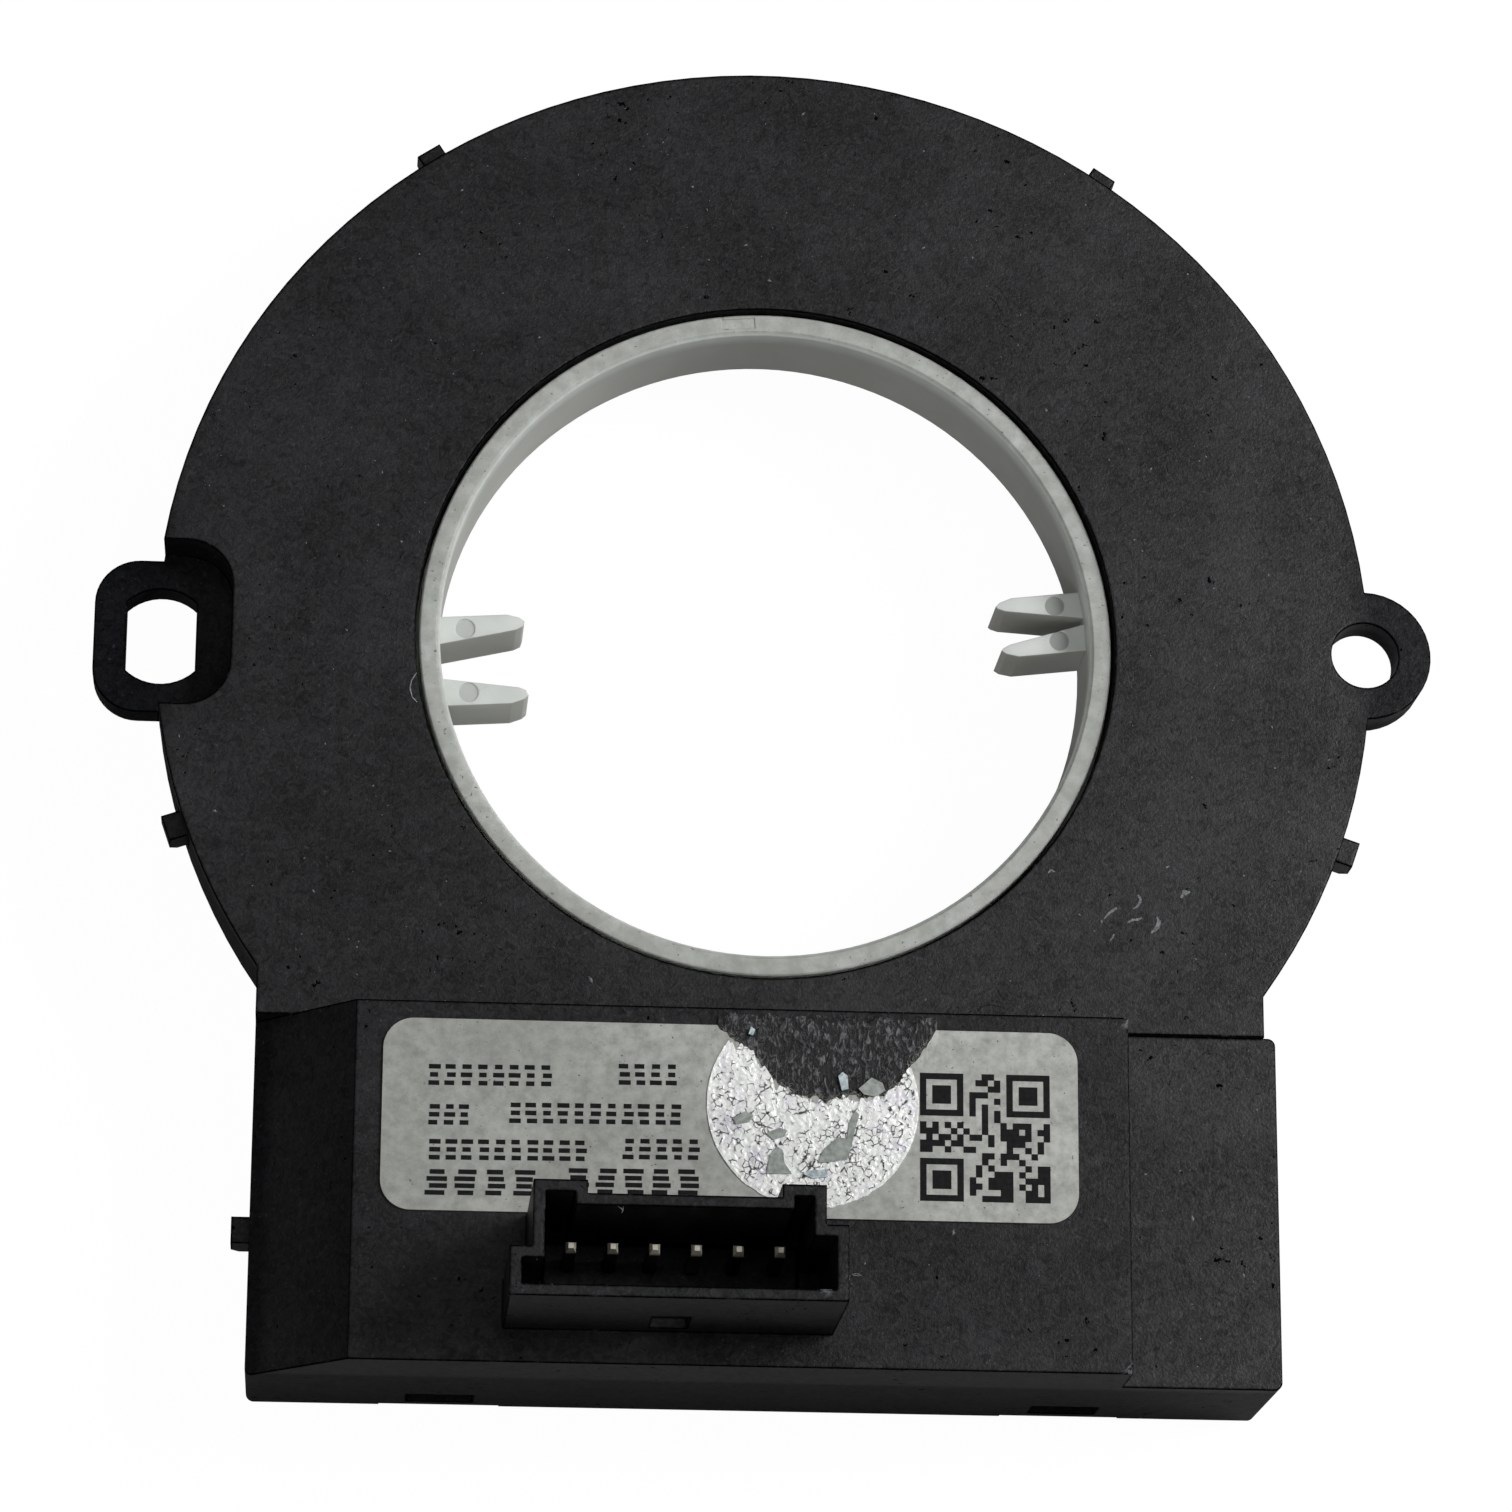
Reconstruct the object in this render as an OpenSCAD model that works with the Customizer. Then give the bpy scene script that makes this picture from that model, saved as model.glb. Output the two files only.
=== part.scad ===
// Steering angle sensor: a flat ring housing with a turning rotor in its bore, and a connector block.
// Units are millimetres. Z is up out of the labelled face, with zero on the ring's underside.
// X points to the round-hole ear, Y points away from the connector block.

/* [Ring housing] */
// outside diameter of the round housing
ring_d = 78.4; // [77.6:0.1:79.2]
// height of the round housing, underside to labelled face
ring_h = 7.0; // [6.9:0.1:8]
// thickness of the labelled face
face_t = 1.6; // [1.2:0.1:1.7]
// thickness of the cover's side walls
wall_t = 1.6; // [1.2:0.1:1.8]
// thickness of the flat ring that closes the underside
floor_t = 1.0; // [0.8:0.1:1.1]
// width of the straight neck between ring and connector block
neck_w = 63.5; // [62.6:0.1:63.8]

/* [Mounting ears] */
// distance between the two ear holes
ear_pitch = 77.8; // [77.4:0.1:78.2]
// outer radius of the round-hole ear
ear_r = 4.3; // [4:0.1:4.6]
// diameter of the round hole
ear_hole_d = 4.4; // [4:0.1:4.8]
// thickness of the round-hole ear
ear_t = 2.7; // [2.2:0.1:3.2]
// width of the slotted hole, along X
slot_w = 4.5; // [4.2:0.1:4.8]
// height of the slotted hole, along Y
slot_h = 6.4; // [6:0.1:6.8]
// height of the slotted ear, along Y
slot_ear_h = 10.2; // [9.8:0.1:10.6]
// distance from the slot's centre to the ear's outer edge
slot_ear_reach = 4.3; // [4:0.1:4.6]
// height of the slotted ear's underside above the housing's underside
slot_ear_z = 1.5; // [1.2:0.1:1.8]
// thickness of the slotted ear
slot_ear_t = 2.1; // [1.9:0.1:2.3]
// height along Y of the recess in the face above the slotted ear
recess_h = 11.0; // [10.8:0.1:11.4]
// distance from the slot's centre to the inner side of the recess
recess_in = 4.6; // [4.4:0.1:4.8]

/* [Connector block] */
// distance from the edge of the rotor's opening to the block
block_gap = 3.05; // [2.9:0.05:3.3]
// depth of the block, near wall to far wall
block_depth = 22.55; // [22.3:0.05:24]
// block side on the slotted-ear side, from the rotor axis
block_left = 32.0; // [31.9:0.1:32.3]
// block side on the round-hole side, from the rotor axis
block_right = 32.5; // [32.2:0.1:33]
// raised plateau side on the slotted-ear side, from the rotor axis
plateau_left = 25.7; // [25.6:0.1:26]
// raised plateau side on the round-hole side, from the rotor axis
plateau_right = 22.45; // [22.3:0.05:23]
// height of the plateau above the ring's face
plateau_h = 4.2; // [4:0.1:4.6]
// drop of the sloped flank's low edge below the ring's face
flank_drop = 2.3; // [2:0.1:2.6]
// drop of the low platform below the ring's face
platform_drop = 0.35; // [0.2:0.05:0.5]
// how far the cover's skirt hangs below the ring's underside
skirt_drop = 4.2; // [4:0.1:4.6]
// how far the tray's bottom hangs below the ring's underside
tray_drop = 5.0; // [5:0.1:5.2]
// radius of the block's upright corners
corner_r = 0.5; // [0.3:0.1:0.7]
// clearance between the tray and the cover's walls
tray_gap = 0.15; // [0.1:0.05:0.2]

/* [Snap noses] */
// direction of the nose up on the round-hole side, counted from X towards Y
nose_angle_1 = 56.2; // [50:0.1:62]
// direction of the nose up on the slotted-ear side
nose_angle_2 = 123.8; // [118:0.1:130]
// direction of the nose below the slotted ear
nose_angle_3 = 199.4; // [198:0.1:202]
// direction of the nose below the round-hole ear
nose_angle_4 = 341.1; // [338:0.1:343]
// width of a snap nose
nose_w = 1.7; // [1.4:0.1:2]
// how far a nose stands out of the wall
nose_out = 1.2; // [0.9:0.1:1.4]
// side clearance of a nose in its window
nose_gap = 0.2; // [0.15:0.05:0.3]
// width of the two latch windows in the far wall
window_w = 4.2; // [3.8:0.1:4.4]
// distance of each latch window from the middle
window_x = 19.8; // [19.4:0.1:20.2]

/* [Socket] */
// middle of the socket along X
socket_x = -6.1; // [-6.3:0.05:-5.9]
// height of the socket's rim above the plateau
socket_h = 10.4; // [9.6:0.1:11]
// wall thickness of the socket
socket_t = 0.72; // [0.6:0.02:0.74]
// distance of the pin row from the block's far wall
pin_in = 6.1; // [6:0.05:6.2]
// distance between neighbouring pins
pin_pitch = 2.54; // [2.5:0.01:2.56]
// side of a square pin
pin_s = 0.64; // [0.6:0.01:0.66]
// height of the pin tips above the plateau
pin_up = 5.8; // [5:0.1:6.4]
// diameter of the board's pin holes
pin_hole_d = 1.05; // [1:0.01:1.1]

/* [Rotor] */
// gap between the rotor's rim and the opening
rotor_gap = 0.25; // [0.2:0.01:0.3]
// inside diameter of the rotor, round the steering shaft
rotor_bore_d = 42.0; // [41:0.1:43]
// thickness of the rotor's wall
rotor_wall = 1.35; // [1.3:0.05:1.5]
// depth of the rim below the labelled face
rim_drop = 0.35; // [0.2:0.05:0.5]
// width of the rim's inner chamfer
rim_chamfer = 0.25; // [0.15:0.05:0.35]
// height of the rotor's lower end above the underside
rotor_foot = 0.2; // [0.1:0.05:0.4]
// direction of the close pair of driving dogs
dog_angle_a = 7; // [0:1:20]
// direction of the wide pair of driving dogs
dog_angle_b = 184; // [175:1:195]
// half width over the close pair
dog_half_a = 2.0; // [1.8:0.1:2.2]
// half width over the wide pair
dog_half_b = 3.0; // [2.8:0.1:3.2]
// depth of the dogs' upper faces below the labelled face
dog_drop = 2.4; // [2.2:0.1:2.8]
// how far the dogs stand in from the rotor's wall
dog_len = 5.6; // [5.2:0.1:6]

/* [Gear train] */
// distance from the opening's edge out to the pitch line of the rotor's teeth
pitch_out = 2.2; // [2.1:0.05:2.3]
// teeth on the rotor
rotor_teeth = 62; // [60:1:64]
// teeth on the first measuring gear
teeth_1 = 18; // [17:1:18]
// teeth on the second measuring gear
teeth_2 = 19; // [18:1:19]
// play between meshing tooth flanks
backlash = 0.14; // [0.12:0.01:0.16]
// radius of the gears' hubs
hub_r = 2.6; // [2.4:0.1:2.7]
// clearance between a hub and the tray's back wall
hub_gap = 0.35; // [0.2:0.05:0.4]
// diameter of the gear posts
post_d = 2.4; // [2.2:0.1:2.6]
// radial running clearance of a gear on its post
post_gap = 0.06; // [0.04:0.01:0.08]
// diameter of the magnets
magnet_d = 6.0; // [5.6:0.1:6.2]
// thickness of the magnets
magnet_t = 2.0; // [1.8:0.1:2.1]

/* [Circuit board] */
// clearance between the board and the cover's walls in front and behind
board_gap = 0.275; // [0.2:0.025:0.4]
// clearance between the board's end and the sloped flank
board_end_gap = 1.85; // [1.6:0.05:2]
// board thickness
board_t = 1.6; // [1.5:0.1:1.6]
// height of the board's lower face above the underside
board_z = 5.6; // [5.6:0.05:5.7]

/* [Board parts] */
// side of the square controller package
chip_side = 10.0; // [9:0.1:10]
// length of a small eight-lead package
small_l = 4.9; // [4.8:0.1:5]
// width of a small eight-lead package
small_w = 3.9; // [3.8:0.1:4]
// height of the packages
package_h = 1.4; // [1.2:0.05:1.45]
// length of a two-ended chip part
chip_l = 2.0; // [1.6:0.1:2.2]
// width of a two-ended chip part
chip_w = 1.25; // [0.8:0.05:1.3]
// height of a chip capacitor
chip_h = 0.9; // [0.6:0.05:1]
// diameter of the round capacitor
can_d = 6.3; // [5:0.1:6.3]
// height of the round capacitor
can_h = 5.7; // [5:0.1:5.8]
// length of the crystal's can
crystal_l = 4.8; // [3.2:0.1:5]

/* [Label] */
// label length along X
label_w = 43.2; // [42.8:0.1:43.4]
// distance of the label's end from the sloped flank
label_in = 1.7; // [1.4:0.1:2]
// distance of the label's upper edge from the block's near wall
label_top_gap = 1.15; // [1:0.05:1.4]
// distance of the label's lower edge from the socket
label_low_gap = 0.15; // [0.1:0.05:0.4]
// label corner radius
label_r = 1.9; // [1.6:0.1:2.2]
// label thickness
label_t = 0.15; // [0.1:0.01:0.2]
// radius of the round foil seal
seal_r = 6.6; // [6.4:0.1:6.7]
// thickness of the foil seal
seal_t = 0.1; // [0.08:0.01:0.12]

/* [Hidden] */

$fn = 96;
e = 0.01;
big = 60;

ring_r = ring_d / 2;
bore_r = rotor_bore_d / 2 + rotor_wall + rotor_gap;
block_start = bore_r + block_gap;
block_reach = block_start + block_depth;
near_y = -block_start;
far_y = -block_reach;
pin_y = far_y + pin_in;
half_row = 2.5 * pin_pitch;
ceiling_z = ring_h - face_t;
plateau_z = ring_h + plateau_h;
platform_z = ring_h - platform_drop;
flank_z = ring_h - flank_drop;
rim_z = plateau_z + socket_h;
wall_foot = floor_t;
neck_x = neck_w / 2;
ear_x = ear_pitch / 2;

// where the ring's outline meets the block's side line
neck_top = sqrt(ring_r * ring_r - block_left * block_left);

collar_w = 1.6;
collar_r = bore_r + collar_w;
gear_low = 1.4;
gear_high = 3.9;
collar_foot = gear_high + 0.2;

rotor_out = bore_r - rotor_gap;
rotor_in = rotor_bore_d / 2;
dog_tip_r = rotor_in - dog_len;
rotor_top = ring_h - rim_drop;
dog_top = ring_h - dog_drop;

// the gears stand as near to the rotor as their hubs' back wall lets them
module_mm = 2 * (bore_r + pitch_out) / rotor_teeth;
back_wall_t = 1.4;
mesh_1 = module_mm * (rotor_teeth + teeth_1) / 2;
mesh_2 = module_mm * (rotor_teeth + teeth_2) / 2;
gear_y = near_y - back_wall_t - hub_r - hub_gap;
gear_pos_1 = [-sqrt(mesh_1 * mesh_1 - gear_y * gear_y), gear_y];
gear_pos_2 = [sqrt(mesh_2 * mesh_2 - gear_y * gear_y), gear_y];
dir_1 = atan2(gear_y, gear_pos_1[0]);
dir_2 = atan2(gear_y, gear_pos_2[0]);
tray_floor = -tray_drop + 1.5;
hub_foot = tray_floor + 0.6;
magnet_gap = 0.02;
magnet_foot = gear_high - 0.3 - magnet_t;
blind_top = magnet_foot - 0.5;

pin_x = [for (i = [0:5]) socket_x + (i - 2.5) * pin_pitch];
label_x = -plateau_left + label_in;
label_top = near_y - label_top_gap;
label_y = pin_y + 3.05 + label_low_gap;
label_h = label_top - label_y;
seal_x = label_x + 26.65;

// rounded rectangle, corner radius r
module round_rect(x0, y0, x1, y1, r) {
  translate([x0 + r, y0]) square([x1 - x0 - 2 * r, y1 - y0]);
  translate([x0, y0 + r]) square([x1 - x0, y1 - y0 - 2 * r]);
  for (p = [[x0 + r, y0 + r], [x1 - r, y0 + r], [x0 + r, y1 - r], [x1 - r, y1 - r]])
    translate(p) circle(r);
}

module box(x0, y0, z0, x1, y1, z1) {
  translate([x0, y0, z0]) cube([x1 - x0, y1 - y0, z1 - z0]);
}

module tube(r_in, r_out, z0, z1) {
  translate([0, 0, z0]) linear_extrude(z1 - z0) difference() {
    circle(r_out);
    circle(r_in);
  }
}

// section of the block seen along Y, as a list of X and Z
block_section = [[-block_left, -skirt_drop], [-block_left, flank_z], [-plateau_left, plateau_z],
  [plateau_right, plateau_z], [plateau_right, platform_z], [block_right, platform_z],
  [block_right, -skirt_drop]];

slope = plateau_h + flank_drop;
run = block_left - plateau_left;
flank_t = wall_t * sqrt(1 + (slope / run) * (slope / run));
inner_left = block_left - wall_t;
inner_flank_z = flank_z - flank_t + wall_t * slope / run;
inner_top = plateau_z - face_t;
inner_plateau_left = block_left - (inner_top + flank_t - flank_z) * run / slope;
inner_platform = platform_z - face_t;
cavity_section = [[-inner_left, -skirt_drop - 1], [-inner_left, inner_flank_z],
  [-inner_plateau_left, inner_top], [plateau_right - wall_t, inner_top],
  [plateau_right - wall_t, inner_platform], [block_right - wall_t, inner_platform],
  [block_right - wall_t, -skirt_drop - 1]];

// the board fills the plan inside the walls, and its parts stand at shares of its sides
board_top = board_z + board_t;
board_x = -inner_left + (board_top - inner_flank_z) * run / slope + board_end_gap;
board_y = far_y + wall_t + board_gap;
board_w = plateau_right - wall_t - 0.35 - board_x;
board_d = block_depth - 2 * wall_t - 2 * board_gap;
peg_xy = [for (x = [board_x + 1.9, board_x + board_w - 1.9],
    y = [board_y + 1.8, board_y + board_d - 1.8]) [x, y]];

module along_block(section, y0, y1) {
  translate([0, y1, 0]) rotate([90, 0, 0]) linear_extrude(y1 - y0) polygon(section);
}

// plan of the ring with its straight neck towards the block
module ring_plan(r, half_neck, y_end) {
  circle(r);
  translate([-half_neck, y_end]) square([2 * half_neck, -y_end - r / 2]);
}

// outline of the socket, w inside its outer surface
module socket_plan(w) {
  xl = socket_x - half_row - 3.85 + w;
  xr = socket_x + half_row + 3.7 - w;
  y0 = pin_y - 4 + w;
  y1 = pin_y + 3.05 - w;
  y2 = pin_y + 2.25 - w;
  yr = pin_y + 0.65 - w;
  yl = pin_y - 1 - w;
  polygon([[xl, y0], [xr, y0], [xr, yr], [xr - 1.35, yr], [xr - 1.35, y1], [xr - 4 + 2 * w, y1],
    [xr - 4 + 2 * w, y2], [xl + 4.6 - 2 * w, y2], [xl + 4.6 - 2 * w, y1], [xl + 1.35, y1],
    [xl + 1.35, yl], [xl, yl]]);
}

// one nose on the rim of the housing, standing out along X
module nose_solid(r0, r1, z0, z1) {
  translate([0, nose_w / 2, 0]) rotate([90, 0, 0]) linear_extrude(nose_w)
    polygon([[r0, z0], [r1 - 0.5, z0], [r1, z0 + 0.6], [r1, z1], [r0, z1]]);
}

nose_z0 = 3.4;
nose_z1 = 5.6;
block_nose_z0 = -1.8;
block_nose_z1 = 0.8;
block_nose_y = near_y - 0.5565 * block_depth;
nose_angles = [nose_angle_1, nose_angle_2, nose_angle_3, nose_angle_4];
latch_z0 = -3.0;
latch_z1 = -0.4;

module upper_cover() {
  color("#26282a") difference() {
    union() {
      difference() {
        translate([0, 0, wall_foot]) linear_extrude(ring_h - wall_foot)
          ring_plan(ring_r, neck_x, -block_start - e);
        // the ring's face ends at the low platform
        box(-big, near_y - big, platform_z, big, near_y, ring_h + 1);
      }
      // the neck's side below the slotted ear is flush with the block's
      box(-block_left, near_y - e, wall_foot, -neck_x + 1, -neck_top, ring_h);
      intersection() {
        along_block(block_section, -block_reach, -block_start);
        translate([0, 0, -big / 2]) linear_extrude(big) {
          round_rect(-block_left, -block_reach, block_right, -block_start, corner_r);
          translate([-block_left, near_y - 2]) square([2, 2]);
        }
      }
      // round-hole ear, level with the face
      translate([0, 0, ring_h - ear_t]) linear_extrude(ear_t) {
        translate([ear_x, 0]) circle(ear_r);
        translate([ring_r - 6, -ear_r]) square([ear_x - ring_r + 6, 2 * ear_r]);
      }
      // slotted ear, and its thicker root inside the ring
      translate([0, 0, slot_ear_z]) linear_extrude(slot_ear_t) slot_ear_plan();
      linear_extrude(slot_ear_z + e) intersection() {
        slot_ear_plan();
        circle(ring_r);
      }
      // socket
      translate([0, 0, inner_top]) linear_extrude(rim_z - inner_top) socket_plan(0);
    }
    // room for the rotor and its teeth
    translate([0, 0, -e]) cylinder(r = bore_r, h = big);
    difference() {
      translate([0, 0, wall_foot - e]) cylinder(r = ring_r - wall_t, h = collar_foot - wall_foot);
      slot_recess_body();
      ear_boss();
    }
    difference() {
      tube(collar_r, ring_r - wall_t, collar_foot - 2 * e, ceiling_z);
      slot_recess_body();
      ear_boss();
    }
    // neck and passage into the block
    box(-neck_x + wall_t, near_y - 2 * e, wall_foot - e, neck_x - wall_t, near_y + 0.65, ceiling_z);
    difference() {
      box(-neck_x + wall_t, near_y + 0.45, wall_foot - e, neck_x - wall_t, -ring_r / 2, ceiling_z);
      translate([0, 0, collar_foot - 2 * e]) cylinder(r = collar_r, h = 10);
    }
    box(-inner_left + 2.4, -block_start - wall_t - e, -skirt_drop - 1, block_right - wall_t - 0.6,
      -block_start + e, inner_platform - 0.1);
    box(-inner_left, -block_start - wall_t - e, -skirt_drop - 1, block_right - wall_t, -block_start + e,
      inner_flank_z - 0.5);
    along_block(cavity_section, -block_reach + wall_t, -block_start - wall_t);
    // recess over the slotted ear
    translate([0, 0, slot_ear_z + slot_ear_t]) linear_extrude(ring_h) {
      round_rect(-ear_x - 10, -recess_h / 2, -ear_x + recess_in, recess_h / 2, 3);
    }
    // ear holes
    translate([ear_x, 0, 0]) cylinder(d = ear_hole_d, h = ring_h + 1);
    translate([ear_x, 0, -e]) cylinder(r = ear_relief_r, h = ring_h - ear_t + e);
    translate([0, 0, -e]) linear_extrude(ring_h + 1) intersection() {
      translate([-ear_x, 0]) square([slot_w, slot_h], center = true);
      translate([-ear_x, 0]) circle(d = slot_h);
    }
    translate([-ear_x, 0, -e]) linear_extrude(slot_ear_z + e)
      square([slot_w + 1.8, slot_h + 1.8], center = true);
    // inside of the socket and the opening for the pin carrier
    translate([0, 0, plateau_z - 0.2]) linear_extrude(socket_h + 1) socket_plan(socket_t);
    box(socket_x - half_row - 1.55, pin_y - 1.7, inner_top - e, socket_x + half_row + 1.55,
      pin_y + 1.45, plateau_z + e);
    // latch opening in the socket's far side
    box(socket_x - 1.3, pin_y - 4.9, plateau_z + 0.8, socket_x + 1, pin_y - 3.1, plateau_z + 4.7);
    // windows for the snap noses
    for (a = nose_angles) rotate([0, 0, a])
      box(ring_r - 3, -nose_w / 2 - nose_gap, nose_z0 - nose_gap, ring_r + 3,
        nose_w / 2 + nose_gap, nose_z1 + nose_gap);
    for (s = [-1, 1])
      box(s > 0 ? block_right - 3 : -block_left - 3, block_nose_y - nose_w / 2 - nose_gap,
        block_nose_z0 - nose_gap, s > 0 ? block_right + 3 : -block_left + 3,
        block_nose_y + nose_w / 2 + nose_gap, block_nose_z1 + nose_gap);
    for (s = [-1, 1]) translate([s * window_x, 0, 0])
      box(-window_w / 2, -block_reach - 1, latch_z0, window_w / 2, -block_reach + 3, latch_z1);
    // relief in the skirt's lower edge
    for (s = [-1, 1]) translate([s * window_x, 0, 0])
      box(-3.8, -block_reach - 1, -skirt_drop - 1, 3.8, -block_reach + 3, -skirt_drop + 0.3);
  }
  // pegs that carry the board
  color("#26282a") for (p = peg_xy) translate([p[0], p[1], 0]) {
    translate([0, 0, board_top]) cylinder(d = 3, h = inner_top - board_top + e);
    translate([0, 0, board_z - 0.7]) cylinder(d = 1.5, h = board_t + 0.7 + e);
  }
  // stops over the measuring gears
  color("#26282a") for (g = [gear_pos_1, gear_pos_2])
    translate([g[0], g[1] + 6.2, gear_high + 0.15]) cylinder(d = 2, h = ceiling_z - gear_high);
}

module slot_ear_plan() {
  round_rect(-ear_x - slot_ear_reach, -slot_ear_h / 2, -ear_x + 8, slot_ear_h / 2, 2.9);
}

// wall around the round hole, inside the ring
module ear_boss() {
  translate([ear_x, 0, 0]) cylinder(r = ear_boss_r, h = ring_h);
}

// wall that backs the recess over the slotted ear
module slot_recess_body() {
  linear_extrude(ring_h)
    round_rect(-ear_x - 10, -recess_h / 2 - 1.4, -ear_x + recess_in + 1.4, recess_h / 2 + 1.4, 4.4);
}

// the room below the round-hole ear, and the wall round that room
ear_relief_r = ear_hole_d / 2 + 1.6;
ear_boss_r = ear_relief_r + 1.2;
base_r = ring_r - 0.5;
rim_out = ring_r - wall_t - tray_gap;

module base_cover() {
  color("#1f2022") difference() {
    union() {
      linear_extrude(floor_t) difference() {
        ring_plan(base_r, neck_x - 0.4, -block_start);
        translate([-big, -big - block_start]) square([2 * big, big]);
        circle(bore_r);
        translate([ear_x, 0]) circle(ear_relief_r + 0.2);
        // room for the slotted ear
        translate([-ear_x - 10, -slot_ear_h / 2 - 0.3])
          square([10 + 5.9 + 2.4, slot_ear_h + 0.6]);
      }
      // locating rim inside the cover's wall
      difference() {
        tube(rim_out - 1.2, rim_out, floor_t - e, floor_t + 1.4);
        box(-big, -big, -1, big, -ring_r / 2 - 0.4, 10);
        box(-big, -recess_h / 2 - 1.7, -1, -ring_r / 2, recess_h / 2 + 1.7, 10);
        translate([ear_x, 0, 0]) cylinder(r = ear_boss_r + tray_gap, h = 10);
      }
      tube(bore_r, bore_r + 1.3, floor_t - e, gear_low - 0.1);
      // back wall, tray floor and the tray's upstand
      box(-inner_left + 0.2, near_y - back_wall_t, -tray_drop, inner_left - 0.2, near_y, floor_t);
      translate([0, 0, -tray_drop]) linear_extrude(tray_drop - skirt_drop)
        round_rect(-block_left + 0.4, -block_reach + 0.4, block_right - 0.4, -block_start, corner_r);
      translate([0, 0, -skirt_drop - e]) linear_extrude(2.2 + e) difference() {
        polygon([[-inner_left + tray_gap, -block_reach + wall_t + tray_gap],
          [block_right - wall_t - tray_gap, -block_reach + wall_t + tray_gap],
          [block_right - wall_t - tray_gap, -block_start],
          [-inner_left + tray_gap, -block_start]]);
        polygon([[-inner_left + tray_gap + 1.1, -block_reach + wall_t + tray_gap + 1.1],
          [block_right - wall_t - tray_gap - 1.1, -block_reach + wall_t + tray_gap + 1.1],
          [block_right - wall_t - tray_gap - 1.1, -block_start - 1.3],
          [-inner_left + tray_gap + 1.1, -block_start - 1.3]]);
      }
      box(-inner_left + tray_gap + 1, -block_reach + wall_t + tray_gap + 1, -skirt_drop - e,
        block_right - wall_t - tray_gap - 1, -block_start - 1.3, tray_floor);
      // noses on the ring
      for (a = nose_angles) rotate([0, 0, a]) {
        nose_solid(rim_out - 1.1, ring_r + nose_out, nose_z0, nose_z1);
        box(rim_out - 1.1, -nose_w / 2, floor_t - e, rim_out, nose_w / 2, nose_z1);
      }
      // noses on the block's sides
      for (s = [0, 1]) {
        x0 = s == 1 ? block_right - wall_t - tray_gap : inner_left - tray_gap;
        x1 = s == 1 ? block_right - 0.3 : block_left;
        mirror([1 - s, 0, 0]) {
          translate([0, block_nose_y, 0])
            nose_solid(x0 - 1.1, x1 + nose_out, block_nose_z0, block_nose_z1);
          box(x0 - 1.1, block_nose_y - nose_w / 2, -skirt_drop, x0, block_nose_y + nose_w / 2,
            block_nose_z1);
        }
      }
      // latches behind the far wall's windows
      for (s = [-1, 1]) translate([s * window_x, 0, 0]) {
        box(-1.7, -block_reach + wall_t + tray_gap, -skirt_drop, 1.7,
          -block_reach + wall_t + tray_gap + 1.1, latch_z1 - 0.2);
        box(-1.7, -block_reach + 0.7, latch_z0 + 0.4, 1.7, -block_reach + wall_t + tray_gap + e,
          latch_z1 - 0.2);
      }
      // gear posts
      for (g = [gear_pos_1, gear_pos_2]) translate([g[0], g[1], 0]) {
        translate([0, 0, tray_floor - e]) cylinder(d = post_d, h = blind_top - 0.3 - tray_floor);
        translate([0, 0, tray_floor - e]) cylinder(d = post_d + 1.6, h = 0.55);
      }
    }
    // lower relief beside the latches
    for (s = [-1, 1]) translate([s * window_x, 0, 0])
      box(-3.8, -block_reach - 1, -tray_drop - 1, 3.8, -block_reach + 1.2, -skirt_drop - e);
    translate([0, 0, -1]) cylinder(r = bore_r, h = 10);
  }
}

function involute(a) = tan(a) * 180 / PI - a;
// half the angle of a tooth at radius r, for n teeth
function half_tooth(n, r) = 90 / n - backlash * 45 / (PI * module_mm * n / 2) + involute(20)
  - (r > module_mm * n / 2 * cos(20) ? involute(acos(module_mm * n / 2 * cos(20) / r)) : 0);
function on_circle(r, a) = [r * cos(a), r * sin(a)];

// spur gear outline with n teeth
module gear_plan(n) {
  pitch = module_mm * n / 2;
  low = pitch - 1.25 * module_mm;
  steps = [low, pitch - 0.5 * module_mm, pitch, pitch + 0.5 * module_mm, pitch + 0.95 * module_mm];
  polygon([for (i = [0:n - 1]) for (k = [0:9])
    let (r = steps[k < 5 ? k : 9 - k], side = k < 5 ? -1 : 1)
      on_circle(r, i * 360 / n + side * half_tooth(n, r))]);
}

// a pair of driving dogs around the X direction, half width w, root gap g0 and tip gap g1
module dog_pair(w, g0, g1) {
  for (s = [-1, 1])
    polygon([[rotor_in + 0.4, s * w], [dog_tip_r + 1.1, s * w], [dog_tip_r + 0.3, s * (w - 0.25)],
      [dog_tip_r, s * (w - 0.5)], [dog_tip_r + 0.15, s * (g1 + 0.2)], [dog_tip_r + 0.6, s * g1],
      [rotor_in + 0.4, s * g0]]);
}

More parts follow.
